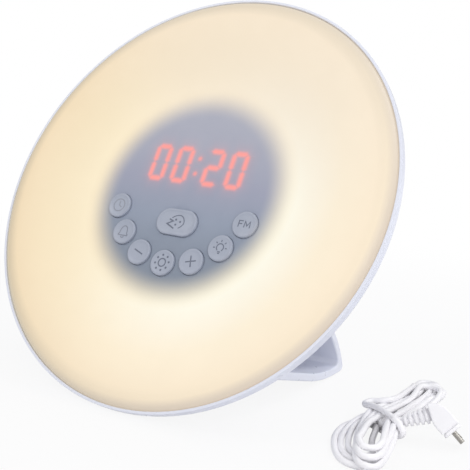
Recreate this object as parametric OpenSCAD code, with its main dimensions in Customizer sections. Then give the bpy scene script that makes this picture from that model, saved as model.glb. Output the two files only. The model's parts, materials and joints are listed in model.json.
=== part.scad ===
// Round wake-up light with a digital clock, on a looped stand, with its tied supply lead.
// World frame: +Z up, the face looks to -Y, floor at z = 0, origin under the middle of the box.
// Head frame: +Z out of the face, +Y up in the face, origin at the centre of the rim's plane.

/* [Head] */
// Outer diameter of the head
head_d = 170; // [150:1:205]
// Depth from the rim's plane to the flat back
head_depth = 31; // [30:0.5:38]
// Diameter of the flat part of the back
hub_d = 88; // [86:1:94]
// Backward lean of the head from upright, in degrees
lean = 30; // [27:1:33]

/* [Back shell] */
// Wall of the shell
shell_wall = 2.6; // [2.4:0.1:2.8]
// Thickness of the lip round the diffuser
lip_t = 1.1; // [0.9:0.1:1.4]
// Step from the rim's plane down to the lip's edge
lip_drop = 0.6; // [0.4:0.1:1]
// Height of the straight side of the rim
side_h = 2.8; // [2:0.1:4]
// Radius between the rim's side and the dome
rim_round = 2.6; // [2:0.1:3]

/* [Diffuser] */
// Wall of the diffuser
diffuser_wall = 1.6; // [1.4:0.1:1.8]
// Depth of the flat clock panel below the rim's plane
panel_depth = 4.2; // [3.8:0.1:4.6]
// Diameter of the flat clock panel
panel_d = 78; // [76:1:84]
// Height of the crown above the rim's plane
crown_h = 1.8; // [1:0.1:3]
// Distance of the crown from the head's edge
crown_in = 7; // [6:0.5:9]

/* [Buttons] */
// Diameter of the round buttons
button_d = 10.2; // [9:0.1:10.4]
// Diameter of the ring the round buttons lie on
button_ring_d = 63; // [62:0.5:64]
// Height of that ring's centre above the head's centre
button_ring_up = 3; // [2.6:0.1:3.4]
// Angle between two neighbouring round buttons
button_step = 22.7; // [22.4:0.1:23.6]
// Height of the buttons above the panel
button_rise = 1.0; // [0.9:0.1:1.4]
// Gap all round a button
button_gap = 0.25; // [0.2:0.05:0.35]
// Travel of a button
button_travel = 0.8; // [0.5:0.1:0.9]
// Length of the snooze button
snooze_l = 18.2; // [15:0.1:20]
// Width of the snooze button
snooze_w = 10.6; // [9.4:0.1:11]
// Distance of the snooze button below the centre
snooze_drop = 12; // [11.6:0.1:12.2]

/* [Digits] */
// Height of a digit
digit_h = 15.4; // [13:0.1:16]
// Width of a digit
digit_w = 7.4; // [6:0.1:7.8]
// Stroke width of a segment
segment_w = 1.7; // [1.2:0.1:2]
// Pitch of two neighbouring digits
digit_pitch = 10.6; // [10:0.1:10.8]
// Pitch of the two digits beside the colon
colon_pitch = 14.4; // [13:0.1:14.8]
// Height of the digits' centre above the head's centre
digits_up = 11.9; // [11.6:0.1:12.2]

/* [Inside] */
// Thickness of the circuit boards
board_t = 1.6; // [1.2:0.1:1.8]
// Thickness of the shield's walls
shield_t = 1.2; // [1:0.1:1.4]
// Thickness of the reflector
reflector_t = 1.2; // [1:0.1:1.4]
// Outer radius of the LED board
led_board_r = 58; // [56:0.5:60]
// Number of LEDs
led_count = 24; // [12:1:30]

/* [Battery bay] */
// Diameter of a back-up cell
cell_d = 10.3; // [10:0.1:10.5]
// Length of a back-up cell without its button
cell_l = 43.3; // [40:0.1:44]
// Number of cells
cell_count = 3; // [2:1:3]
// Height of the bay's centre above the head's centre
bay_up = 12; // [11:0.5:12.5]
// Thickness of the battery cover
cover_t = 1.8; // [1.6:0.1:1.9]

/* [Speaker] */
// Diameter of the speaker
speaker_d = 28; // [26:0.5:28.5]
// Distance of the speaker below the head's centre
speaker_drop = 29.5; // [28:0.5:30]

/* [Stand] */
// Width of the stand
stand_w = 95; // [85:1:120]
// Distance from the head's centre to the back of the stand
stand_back = 52.3; // [48:0.5:62]
// Thickness of the bent band
band_t = 3.2; // [3:0.1:5]
// Outer radius of the band's lower rear corner
corner_r = 2.2; // [2:0.1:5]
// Thickness of the foot pad
pad_t = 1.2; // [1:0.1:1.6]
// Depth of the foot pad in its pocket
pad_sink = 0.6; // [0.4:0.1:0.8]

/* [Supply lead] */
// Diameter of the cord
cord_d = 2.2; // [2:0.1:2.6]
// Height of the tied hank
hank_h = 8.5; // [7:0.5:10]

/* [Hidden] */
$fn = 64;
eps = 0.01;
cut = 1;                      // how far a cutting tool reaches past a face

// --- head levels, in the head frame -------------------------------------------------
head_r = head_d / 2;
hub_r = hub_d / 2;
side_low = -lip_drop - side_h;
dome_r = head_r - rim_round;  // where the rim's round ends and the dome begins
dome_h0 = side_low - rim_round;
hub_h = -head_depth;
floor_h = hub_h + shell_wall; // inner face of the flat back
lip_r = head_r - lip_t;       // inner radius of the lip
ledge_h = -2.9;               // seat of the diffuser's edge
ledge_w = 3.9;
dome_steps = 16;

function smooth(t) = t * t * (3 - 2 * t);
// height of the dome's outer face at radius r
function dome_h(r) =
    r >= dome_r ? dome_h0
    : r <= hub_r ? hub_h
    : dome_h0 + (hub_h - dome_h0) * smooth((dome_r - r) / (dome_r - hub_r));
function dome_radius(i) = dome_r + (hub_r - dome_r) * i / dome_steps;
function arc(c, r, a0, a1, n) =
    [for (i = [0:n]) let (a = a0 + (a1 - a0) * i / n) c + r * [cos(a), sin(a)]];
function radial(r, a) = [r * cos(a), r * sin(a)];

// --- where the head stands ------------------------------------------------------------
head_z = dome_r * cos(lean) + rim_round - side_low * sin(lean);
y_front = dome_r * sin(lean) + rim_round * sin(lean) + lip_drop * -cos(lean);
head_top_back = dome_r * sin(lean) - side_low * cos(lean) + rim_round;
y_back = max(stand_back, head_top_back);
head_y = -(y_back - y_front) / 2;

// --- diffuser ---------------------------------------------------------------------------
panel_r = panel_d / 2;
panel_h = -panel_depth;
panel_back = panel_h - diffuser_wall;
crown_r = head_r - crown_in;
edge_gap = 0.3;
edge_r = lip_r - edge_gap;    // outer radius of the diffuser's edge
edge_h = -2.4;                // where the crown's round turns into the edge
diffuser_steps = 12;
function diffuser_h(r) =
    r <= panel_r ? panel_h
    : panel_h + (crown_h - panel_h) * smooth((r - panel_r) / (crown_r - panel_r));
// quarter ellipse from the crown to the edge, w inside the outer face
function crown_arc(w) =
    [for (i = [0:6]) let (a = 90 - 15 * i)
        [crown_r + (edge_r - crown_r - w * 1.25) * cos(a),
         edge_h + (crown_h - edge_h - w) * sin(a)]];
function diffuser_line(w) =
    [for (i = [0:diffuser_steps - 1])
        let (r = panel_r + (crown_r - panel_r) * i / diffuser_steps)
        [r, diffuser_h(r) - w]];

// --- buttons, display and shield, from the panel inwards ------------------------------------
flange_t = 1.0;
flange_w = 0.8;               // how far a button's flange reaches past its cap
flange_gap = 0.15;
flange_top = panel_back - flange_gap;
button_top = panel_h + button_rise;
cap_edge = 0.5;               // bevel of a button's cap
plate_gap = 0.35;             // room left under a fully pressed flange
plate_top = flange_top - flange_t - button_travel - plate_gap;
plate_low = plate_top - shield_t;
stem_d = 3.6;
stem_gap = 0.4;
switch_w = 6;
switch_h = 3.4;
switch_gap = 0.2;             // radial gap of a stem in its switch
switch_well = 1.7;
stem_in = 0.3;                // depth of a resting stem in its switch
board_top = plate_low - 1.3 - switch_h;
switch_top = board_top + switch_h;
stem_low = switch_top - stem_in;
board_low = board_top - board_t;
board_r = 36.6;
skirt_in = board_r + 0.6;
skirt_out = skirt_in + shield_t;
skirt_top = panel_back - 0.1;
flange_r = skirt_out + 8.4;   // outer radius of the shield's flange
led_screw_r = skirt_out + 4.9;
led_screw_angles = [90, 210, 330];
led_boss_d = 6;
led_boss_l = 3;
board_boss_d = 5;
board_boss_at = [[31, 10], [-31, 10], [0, -snooze_drop - snooze_w / 2 - 3.4]];
ring_r = button_ring_d / 2;
function button_at(i) =
    [0, button_ring_up] + radial(ring_r, -90 + (i - 3) * button_step);
snooze_at = [0, -snooze_drop];
switch_at = concat([for (i = [0:6]) button_at(i)], [snooze_at]);

display_margin = [1.9, 1.8];
display_w = 2 * digit_pitch + colon_pitch + digit_w + 2 * display_margin[0] + 3.6;
display_l = digit_h + 2 * display_margin[1];
display_x = -0.5;
display_top = skirt_top;
display_gap = 0.3;
segment_t = 0.6;
segment_gap = 0.25;           // gap between two segments of one digit
dot_d = 1.9;
dot_up = 3.2;
digit_x = [-colon_pitch / 2 - digit_pitch, -colon_pitch / 2, colon_pitch / 2,
           colon_pitch / 2 + digit_pitch];

// --- light ring -------------------------------------------------------------------------
led_board_in = skirt_out + 1;
reflector_in = skirt_out + 0.6;
dish_h = board_top + shield_t + reflector_t + board_t; // top of the LED board
dish_low = dish_h - board_t;   // the dish floor that carries the LED board
reflector_out = head_r - 9;
dish_mid_r = head_r - 15;
// the dish's height at radius r, so far above the shell's inner face
function dish_over(r, gap) = dome_h(r) + shell_wall + gap + reflector_t;
reflector_rim_h = dish_over(reflector_out, 0.25);
dish_mid_h = dish_over(dish_mid_r, 2.5);
led_ring_r = (led_board_in + led_board_r) / 2 + 1.7;
led_size = [3.5, 2.8, 1.4];
case_screw_r = led_board_r + 4;
case_screw_angles = [40, 140, 208, 332];
case_boss_d = 6.5;
case_boss_top = -7.5;
case_boss_low = dish_low - reflector_t - 0.4;
pilot_top = case_boss_top - 1;

// --- screws: [head diameter, head height, shank diameter] ---------------------------------
case_screw = [5.6, 2, 2.9];
led_screw = [5, 1.6, 2.7];
board_screw = [4.4, 1.3, 2.2];
inlet_screw = [4, 1.3, 1.9];
pilot_gap = 0.1;              // radial gap of a shank in its pilot hole
pass_gap = 0.25;              // radial gap of a shank in a clear hole
pad_wall = 2.2;
case_seat = case_boss_low - 2;

// --- battery bay ---------------------------------------------------------------------------
cell_pitch = cell_d + 0.7;
cell_nub = [4, 1.2];
bay_wall = 1.4;
bay_spare = [4.1, 2.3];       // spring room along the cells, room across them
contact_t = 0.5;
bay_in = [cell_l + cell_nub[1] + bay_spare[0] + 2 * contact_t,
          (cell_count - 1) * cell_pitch + cell_d + bay_spare[1]];
cover_lap = 2.2;              // how far the cover laps over the bay's edge at the ends
cover_side_lap = 1.8;
cover_gap = 0.3;
cover_size = [bay_in[0] + 2 * cover_lap, bay_in[1] + 2 * cover_side_lap];
cover_recess = cover_t + 0.1;
cell_h = hub_h + cover_recess + 0.15 + cell_d / 2;
bay_roof = cell_h + cell_d / 2 + 0.25;
bay_roof_t = 1.4;
bay_at = [0, bay_up];
wire_d = 1.2;
wire_gap = 0.2;
contact_w = cell_d - 2;
contact_top = cell_h + contact_w / 2;
function bay_wire_at(s) = bay_at + [s * (bay_in[0] / 2 - wire_d / 2 - wire_gap), 0];

// --- speaker and inlet ---------------------------------------------------------------------
speaker_at = [0, -speaker_drop];
speaker_h = 4.4;
magnet_d = 17;
magnet_h = 3.4;
ring_gap = 0.3;
ring_wall = 1.2;
ring_h = 3;
slot_w = 1.6;
slot_pitch = 3.4;
inlet_at = [35.5, 0];
inlet_slot = [3.6, 8.4];
inlet_body = [2.9, 7.9, 6];
inlet_board_size = [11, 18, 1.2];
inlet_post_v = 6.8;
inlet_post_d = 4.2;
inlet_face = hub_h + 0.4;     // front face of the receptacle, just inside the back
inlet_board_h = inlet_face + inlet_body[2];

// --- stand: points are [y, z] in the world ---------------------------------------------------
stand_low = pad_t - pad_sink;
corner_c = [head_y + stand_back - corner_r, stand_low + corner_r];
flat_l = 4.8;                 // flat length of the base before its bend
base_bend_r = 76;
base_rise = 17;               // slope of the base under the head, in degrees
wall_lean = [22, 41];         // lean of the rear wall at its foot and at its top
wall_bend_r = 56;
inner_fillet = 1.8;
corner_end = corner_c + corner_r * [cos(wall_lean[0]), sin(wall_lean[0])];
wall_c = corner_end - wall_bend_r * [cos(wall_lean[0]), sin(wall_lean[0])];
base_c = [corner_c[0] - flat_l, stand_low + base_bend_r];
wall_dir = [-sin(wall_lean[1]), cos(wall_lean[1])];
base_dir = [-cos(base_rise), sin(base_rise)];
fillet_z = stand_low + band_t + inner_fillet;
fillet_c = [wall_c[0] + sqrt(pow(wall_bend_r - band_t - inner_fillet, 2)
                             - pow(fillet_z - wall_c[1], 2)), fillet_z];
fillet_a = atan2(fillet_c[1] - wall_c[1], fillet_c[0] - wall_c[0]);
// head-frame height and face coordinate of a world point, and of a world direction
function to_h(p) = -(p[0] - head_y) * cos(lean) + (p[1] - head_z) * sin(lean);
function to_v(p) = (p[0] - head_y) * sin(lean) + (p[1] - head_z) * cos(lean);
function dir_h(d) = -d[0] * cos(lean) + d[1] * sin(lean);
// the point at head height h on the line through p along d
function reach(p, d, h) = p + d * (h - to_h(p)) / dir_h(d);
function on_wall(t) = wall_c + (wall_bend_r - t) * [cos(wall_lean[1]), sin(wall_lean[1])];
function on_base(t) = base_c + (base_bend_r - t) * [-sin(base_rise), -cos(base_rise)];
wall_end_h = hub_h + 9;       // the band's two ends, inside the head before it is cut
base_end_h = -5;
head_gap = 0.15;              // gap between the stand's ends and the shell
hub_boss_d = 8;
hub_boss_l = 5;
hub_boss_at = [27, to_v(reach(on_wall(band_t), wall_dir, hub_h)) - hub_boss_d / 2 + 1.5];
base_boss_d = 7;
base_boss_low = hub_h + 2;
base_boss_top = hub_h + 18;   // inside the head, before the boss is cut
base_boss_at = [23, to_v(reach(on_base(band_t / 2), base_dir, base_boss_low + 2)) + 1.5];
hub_seat = floor_h + 2;
stand_pad_d = case_screw[0] + 2;
base_seat = dome_h(norm(base_boss_at) + stand_pad_d / 2) + shell_wall + 0.1;
stand_screw_end = [hub_h - hub_boss_l + 1, base_boss_low + 0.6];
pad_size = [76, 6.4];
pad_y = corner_c[0] - pad_size[1] / 2 + 0.2;

// --- supply lead: hand-chosen points on the floor plan, in the world -------------------------
hank_ends = [[86, -24.4, 11.8], [85.8, 46.2, 8.2]]; // [x, y, radius] of the two rounded ends
hank_waist = [75, 90.5, 0];                   // [left x, right x, y] where it is tied
plug_at = [102.9, 3.7, 9.9];                  // elbow of the micro plug
plug_turn = 17;
plug_tilt = 68;
relief_rise = 24;                             // angle of the cord side in the plug's plane
nose_fall = 43;                               // angle of the metal nose below level
elbow_in = [-0.8, -3.8];                      // inner corner of the elbow
elbow_t = 7;
elbow_w = 9.6;
nose_l = 6;                                   // moulded length past the elbow
micro_shell = [4.4, 1.8, 6.85];
relief_l = 9.2;
relief_r = [1.85, 3.2];
rib_count = 5;
usb_at = [100, -46, 4.2];                     // cord side of the large plug's relief
usb_relief_l = 9;
usb_relief_r = [1.9, 3.2];
usb_body = [20, 15.6, 7.8];
usb_shell = [12, 12, 4.5];
usb_shell_t = 0.4;
lead_points = [[88.3, -3.4, 3.9], [90.8, -2.2, 4.8], [93.5, -0.8, 6]];
tail_points = [[88.4, -33.1, 1.4], [91.4, -32.7, 1.4], [94, -33.9, 1.4], [95.4, -37, 1.6],
               [95.9, -40.6, 2.2], [96.7, -43.8, 3.2], [98.2, -45.6, 3.9], [100, -46, 4.2]];
tube_steps = 3;                               // rings between two route points
tube_sides = 8;

// ===== shared shapes ==========================================================================
module head_frame() {
    translate([0, head_y, head_z]) rotate([90 - lean, 0, 0]) children();
}

module at(p, h = 0) {
    translate([p[0], p[1], h]) children();
}

// a block centred on p, from height h0 up to h1
module block(p, size, h0, h1) {
    translate([p[0] - size[0] / 2, p[1] - size[1] / 2, h0]) cube([size[0], size[1], h1 - h0]);
}

module rod(p, d, h0, h1) {
    at(p, h0) cylinder(d = d, h = h1 - h0, $fn = 48);
}

module tube_ring(p, d_in, d_out, h0, h1) {
    difference() {
        rod(p, d_out, h0, h1);
        rod(p, d_in, h0 - cut, h1 + cut);
    }
}

// screw with its head seated at h, pointing out of the face
module screw(p, kind, seat, tip) {
    dir = tip > seat ? 1 : -1;
    h0 = min(seat, tip);
    rod(p, kind[2], h0, max(seat, tip));
    difference() {
        rod(p, kind[0], min(seat, seat - dir * kind[1]), max(seat, seat - dir * kind[1]));
        block(p, [kind[0] * 0.6, 0.7],
              dir > 0 ? seat - kind[1] - cut : seat + kind[1] - 0.6,
              dir > 0 ? seat - kind[1] + 0.6 : seat + kind[1] + cut);
        block(p, [0.7, kind[0] * 0.6],
              dir > 0 ? seat - kind[1] - cut : seat + kind[1] - 0.6,
              dir > 0 ? seat - kind[1] + 0.6 : seat + kind[1] + cut);
    }
}

module stadium(l, w) {
    square([l - w, w], center = true);
    for (s = [-1, 1]) translate([s * (l - w) / 2, 0]) circle(d = w);
}

module dome_volume(gap) {
    rotate_extrude($fn = 128)
        polygon(concat(
            [[0, 0], [head_r + gap, 0]],
            arc([dome_r, side_low], rim_round + gap, 0, -90, 6),
            [for (i = [1:dome_steps]) let (r = dome_radius(i)) [r, dome_h(r) - gap]],
            [[0, hub_h - gap]]));
}

// ===== head: shell and diffuser ================================================================
module shell_wall_body() {
    ledge_in = lip_r - ledge_w;
    rotate_extrude($fn = 128)
        polygon(concat(
            [[lip_r, -lip_drop], [head_r, -lip_drop]],
            arc([dome_r, side_low], rim_round, 0, -90, 6),
            [for (i = [1:dome_steps]) let (r = dome_radius(i)) [r, dome_h(r)]],
            [[0, hub_h], [0, floor_h]],
            [for (i = [dome_steps:-1:0]) let (r = dome_radius(i))
                if (r < ledge_in - 0.2) [r, dome_h(r) + shell_wall]],
            [[ledge_in, dome_h(ledge_in) + shell_wall], [ledge_in, ledge_h],
             [lip_r, ledge_h]]));
}

module shell_pads() {
    // pads for the case screws, the stand's screws and the battery bay
    for (a = case_screw_angles)
        rod(radial(case_screw_r, a), case_screw[0] + 2 * pad_wall, hub_h, case_boss_low);
    for (s = [-1, 1]) {
        rod([s * hub_boss_at[0], hub_boss_at[1]], stand_pad_d, hub_h, hub_seat);
        rod([s * base_boss_at[0], base_boss_at[1]], stand_pad_d, hub_h, base_seat);
        rod(inlet_at + [0, s * inlet_post_v], inlet_post_d, floor_h - eps, inlet_board_h);
    }
    block(bay_at, bay_in + 2 * [bay_wall, bay_wall], hub_h, bay_roof + bay_roof_t);
    tube_ring(speaker_at, speaker_d + 2 * ring_gap, speaker_d + 2 * ring_gap + 2 * ring_wall,
              hub_h, floor_h + ring_h);
}

module grille() {
    n = floor((speaker_d / 2 - 3) / slot_pitch);
    for (i = [-n:n]) {
        half = sqrt(pow(speaker_d / 2 - 2.5, 2) - pow(i * slot_pitch, 2));
        at(speaker_at + [0, i * slot_pitch], hub_h - cut)
            linear_extrude(shell_wall + 2 * cut) stadium(2 * half, slot_w);
    }
}

module back_shell() {
    color("whitesmoke") head_frame() difference() {
        union() {
            shell_wall_body();
            intersection() {
                shell_pads();
                dome_volume(-0.1);
            }
        }
        for (a = case_screw_angles) {
            p = radial(case_screw_r, a);
            rod(p, case_screw[0] + 1, hub_h - cut, case_seat);
            rod(p, case_screw[2] + 2 * pass_gap, hub_h - cut, case_boss_low + cut);
        }
        for (s = [-1, 1]) {
            rod([s * hub_boss_at[0], hub_boss_at[1]], case_screw[2] + 2 * pass_gap,
                hub_h - cut, hub_seat + cut);
            rod([s * base_boss_at[0], base_boss_at[1]], case_screw[2] + 2 * pass_gap,
                hub_h - cut, base_seat + cut);
            rod(inlet_at + [0, s * inlet_post_v], inlet_screw[2] + 2 * pilot_gap,
                floor_h + 0.6, inlet_board_h + cut);
            // wires of the two end contacts
            rod(bay_wire_at(s), wire_d + 2 * wire_gap, bay_roof - cut,
                bay_roof + bay_roof_t + cut);
        }
        block(bay_at, bay_in, hub_h - cut, bay_roof);
        block(bay_at, cover_size + 2 * [cover_gap, cover_gap], hub_h - cut,
              hub_h + cover_recess);
        block(inlet_at, inlet_slot, hub_h - cut, floor_h + cut);
        grille();
    }
}

module diffuser() {
    color("wheat") head_frame() difference() {
        rotate_extrude($fn = 128)
            polygon(concat(
                [[0, panel_h]], diffuser_line(0), crown_arc(0), [[edge_r, ledge_h]],
                [[edge_r - diffuser_wall * 1.25, ledge_h]],
                [for (i = [6:-1:0]) crown_arc(diffuser_wall)[i]],
                [for (i = [diffuser_steps - 1:-1:0]) diffuser_line(diffuser_wall)[i]],
                [[0, panel_back]]));
        for (i = [0:6])
            rod(button_at(i), button_d + 2 * button_gap, panel_back - cut, panel_h + cut);
        at(snooze_at, panel_back - cut) linear_extrude(diffuser_wall + 2 * cut)
            stadium(snooze_l + 2 * button_gap, snooze_w + 2 * button_gap);
    }
}

// ===== centre of the head ======================================================================
module centre_shield() {
    color("white") head_frame() difference() {
        union() {
            tube_ring([0, 0], 2 * skirt_in, 2 * skirt_out, board_top, skirt_top);
            tube_ring([0, 0], 2 * skirt_in, 2 * flange_r, board_top, board_top + shield_t);
            rod([0, 0], 2 * skirt_in + shield_t, plate_low, plate_top);
            for (p = board_boss_at) rod(p, board_boss_d, board_top, plate_low + eps);
            for (a = led_screw_angles)
                rod(radial(led_screw_r, a), led_boss_d, board_top - led_boss_l,
                    board_top + eps);
        }
        for (p = switch_at) rod(p, stem_d + 2 * stem_gap, plate_low - cut, plate_top + cut);
        for (p = board_boss_at)
            rod(p, board_screw[2] + 2 * pilot_gap, board_top - cut, plate_low - 0.4);
        for (a = led_screw_angles)
            rod(radial(led_screw_r, a), led_screw[2] + 2 * pilot_gap,
                board_top - led_boss_l - cut, board_top + shield_t + cut);
        block([display_x, digits_up], [display_w + 2 * display_gap, display_l + 2 * display_gap],
              plate_low - cut, plate_top + cut);
        led_wire_holes(board_top - cut, board_top + shield_t + cut);
    }
}

module led_wire_holes(h0, h1) {
    for (v = [-2, 2]) rod([-(led_board_in + 2), v], wire_d + 2 * wire_gap, h0, h1);
}

module main_board() {
    color("seagreen") head_frame() difference() {
        rod([0, 0], 2 * board_r, board_low, board_top);
        for (p = board_boss_at)
            rod(p, board_screw[2] + 2 * pass_gap, board_low - cut, board_top + cut);
    }
}

// small parts on the back of the main board: [x, y, width, length, height]
module board_components() {
    chips = [[14, -15, 10, 10, 1.2], [-14, -15, 6, 5, 1.2], [0, 6, 7, 7, 1], [20, 6, 3, 2, 1],
             [-20, 8, 3, 2, 1], [-8, 22, 4, 3, 1.1], [10, 22, 3, 1.8, 0.9]];
    color("dimgray") head_frame() {
        for (c = chips) block([c[0], c[1]], [c[2], c[3]], board_low - c[4], board_low);
        for (s = [-1, 1]) rod([s * 24, -14], 4, board_low - 3, board_low);
    }
}

module board_screws() {
    color("silver") head_frame()
        for (p = board_boss_at) screw(p, board_screw, board_low, plate_low - 0.9);
}

// ends of one segment come to a point
module segment(l) {
    w = segment_w / 2;
    polygon([[-l / 2, 0], [-l / 2 + w, w], [l / 2 - w, w], [l / 2, 0], [l / 2 - w, -w],
             [-l / 2 + w, -w]]);
}

module digit() {
    across = digit_w - segment_w - segment_gap;
    along = (digit_h - segment_w) / 2 - segment_gap;
    for (k = [-1, 0, 1]) translate([0, k * (digit_h - segment_w) / 2]) segment(across);
    for (s = [-1, 1], k = [-1, 1])
        translate([s * (digit_w - segment_w) / 2, k * (digit_h - segment_w) / 4])
            rotate(90) segment(along);
}

module segment_plan() {
    for (x = digit_x) translate([x, 0]) digit();
    for (s = [-1, 1]) translate([0, s * dot_up]) circle(d = dot_d, $fn = 24);
}

module display_module() {
    color("lightgray") head_frame() difference() {
        block([display_x, digits_up], [display_w, display_l], board_top, display_top);
        at([0, digits_up], display_top - segment_t) linear_extrude(segment_t + cut)
            segment_plan();
    }
}

module display_segments() {
    color("red") head_frame() at([0, digits_up], display_top - segment_t)
        linear_extrude(segment_t) segment_plan();
}

module tact_switches() {
    color("black") head_frame() for (p = switch_at) difference() {
        block(p, [switch_w, switch_w], board_top, switch_top);
        rod(p, stem_d + 2 * switch_gap, switch_top - switch_well, switch_top + cut);
    }
}

// ===== buttons =================================================================================
module round_button(i) {
    color("lightgray") head_frame() {
        at(button_at(i)) rotate_extrude($fn = 64)
            polygon([[0, button_top], [button_d / 2 - cap_edge, button_top],
                     [button_d / 2, button_top - cap_edge], [button_d / 2, flange_top],
                     [button_d / 2 + flange_w, flange_top],
                     [button_d / 2 + flange_w, flange_top - flange_t],
                     [stem_d / 2, flange_top - flange_t], [stem_d / 2, stem_low],
                     [0, stem_low]]);
    }
}

module time_button() { round_button(0); }
module alarm_button() { round_button(1); }
module minus_button() { round_button(2); }
module brightness_button() { round_button(3); }
module plus_button() { round_button(4); }
module light_button() { round_button(5); }
module radio_button() { round_button(6); }

module snooze_button() {
    color("lightgray") head_frame() {
        at(snooze_at, flange_top - flange_t) linear_extrude(flange_t)
            stadium(snooze_l + 2 * flange_w, snooze_w + 2 * flange_w);
        at(snooze_at, flange_top - eps)
            linear_extrude(button_top - cap_edge - flange_top + eps)
            stadium(snooze_l, snooze_w);
        at(snooze_at, button_top - cap_edge - eps) linear_extrude(cap_edge + eps)
            stadium(snooze_l - cap_edge, snooze_w - cap_edge);
        rod(snooze_at, stem_d, stem_low, flange_top - flange_t + eps);
    }
}

// ===== light ring ==============================================================================
module reflector() {
    profile = [[reflector_in, dish_low], [led_board_r + 1, dish_low],
               [dish_mid_r, dish_mid_h], [reflector_out, reflector_rim_h]];
    color("white") head_frame() difference() {
        union() {
            rotate_extrude($fn = 128)
                polygon(concat(profile,
                    [for (i = [3:-1:0]) profile[i] - [0, reflector_t]]));
            for (a = case_screw_angles)
                rod(radial(case_screw_r, a), case_boss_d, case_boss_low, case_boss_top);
        }
        for (a = case_screw_angles)
            rod(radial(case_screw_r, a), case_screw[2] + 2 * pilot_gap,
                case_boss_low - cut, pilot_top);
        for (a = led_screw_angles)
            rod(radial(led_screw_r, a), led_screw[2] + 2 * pass_gap,
                dish_low - reflector_t - cut, dish_low + cut);
        led_wire_holes(dish_low - reflector_t - cut, dish_low + cut);
    }
}

module led_board() {
    color("white") head_frame() difference() {
        tube_ring([0, 0], 2 * led_board_in, 2 * led_board_r, dish_low, dish_h);
        for (a = led_screw_angles)
            rod(radial(led_screw_r, a), led_screw[2] + 2 * pass_gap,
                dish_low - cut, dish_h + cut);
    }
}

module leds() {
    color("lightyellow") head_frame() for (i = [0:led_count - 1])
        rotate(360 * i / led_count)
            block([led_ring_r, 0], [led_size[0], led_size[1]], dish_h, dish_h + led_size[2]);
}

module led_screws() {
    color("silver") head_frame() for (a = led_screw_angles)
        screw(radial(led_screw_r, a), led_screw, dish_h, board_top - led_boss_l + 0.4);
}

module case_screws() {
    color("silver") head_frame() for (a = case_screw_angles)
        screw(radial(case_screw_r, a), case_screw, case_seat, pilot_top - 0.5);
}

// ===== battery bay =============================================================================
module battery_cover() {
    color("whitesmoke") head_frame() {
        difference() {
            block(bay_at, cover_size, hub_h, hub_h + cover_t);
            // finger groove
            for (k = [0:3])
                block(bay_at + [cover_size[0] / 2 - 5 - 1.6 * k, 0], [0.8, 14],
                      hub_h - cut, hub_h + 0.5);
        }
    }
}

function cell_v(i) = bay_up + (i - (cell_count - 1) / 2) * cell_pitch;
function cell_side(i) = i % 2 == 0 ? 1 : -1;

module battery_cells() {
    start = bay_in[0] / 2 - contact_t - cell_nub[1] - cell_l;
    color("darkgreen") head_frame() for (i = [0:cell_count - 1])
        translate([0, cell_v(i), cell_h]) rotate([0, 90 * cell_side(i), 0])
            translate([0, 0, start]) {
                cylinder(d = cell_d, h = cell_l, $fn = 48);
                cylinder(d = cell_nub[0], h = cell_l + cell_nub[1], $fn = 32);
            }
}

module battery_contacts() {
    spring_l = bay_spare[0];
    color("silver") head_frame() for (i = [0:cell_count - 1], s = [-1, 1]) {
        block([s * (bay_in[0] / 2 - contact_t / 2), cell_v(i)], [contact_t, contact_w],
              cell_h - contact_w / 2, contact_top);
        // coned spring at the flat end of the cell
        if (s != cell_side(i))
            translate([s * (bay_in[0] / 2 - contact_t), cell_v(i), cell_h])
                rotate([0, -90 * s, 0]) difference() {
                    cylinder(r1 = 3.8, r2 = 2.2, h = spring_l, $fn = 32);
                    translate([0, 0, -cut])
                        cylinder(r1 = 3.3, r2 = 1.6, h = spring_l + 2 * cut, $fn = 32);
                }
    }
}

// ===== speaker =================================================================================
module speaker_frame() {
    color("dimgray") head_frame() difference() {
        rod(speaker_at, speaker_d, floor_h, floor_h + speaker_h);
        at(speaker_at, floor_h - cut)
            cylinder(d = speaker_d - 3, h = cut + 0.9, $fn = 64);
        at(speaker_at, floor_h + 0.9 - eps)
            cylinder(d1 = speaker_d - 3, d2 = 11, h = speaker_h - 1.9, $fn = 64);
    }
}

module speaker_cone() {
    cone_low = floor_h + 0.9;
    color("black") head_frame() at(speaker_at) rotate_extrude($fn = 64)
        polygon([[0, cone_low + 1.6], [3.2, cone_low + 1.3], [4.6, cone_low + 2.0],
                 [speaker_d / 2 - 2.4, cone_low - 0.2], [speaker_d / 2 - 2.0, cone_low - 0.2],
                 [speaker_d / 2 - 2.0, cone_low + 0.1], [4.6, cone_low + 2.3],
                 [3.2, cone_low + 1.6], [0, cone_low + 1.9]]);
}

module speaker_magnet() {
    color("silver") head_frame()
        rod(speaker_at, magnet_d, floor_h + speaker_h, floor_h + speaker_h + magnet_h);
}

// ===== power inlet =============================================================================
module usb_inlet() {
    color("silver") head_frame() difference() {
        block(inlet_at, [inlet_body[0], inlet_body[1]], inlet_face, inlet_board_h);
        block(inlet_at, [inlet_body[0] - 0.7, inlet_body[1] - 0.7], inlet_face - cut,
              inlet_board_h - 0.6);
    }
}

module inlet_board() {
    color("seagreen") head_frame() difference() {
        block(inlet_at, [inlet_board_size[0], inlet_board_size[1]], inlet_board_h,
              inlet_board_h + inlet_board_size[2]);
        for (s = [-1, 1])
            rod(inlet_at + [0, s * inlet_post_v], inlet_screw[2] + 2 * pass_gap,
                inlet_board_h - cut, inlet_board_h + inlet_board_size[2] + cut);
    }
}

module inlet_screws() {
    color("silver") head_frame() for (s = [-1, 1])
        screw(inlet_at + [0, s * inlet_post_v], inlet_screw,
              inlet_board_h + inlet_board_size[2], floor_h + 1);
}

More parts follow.
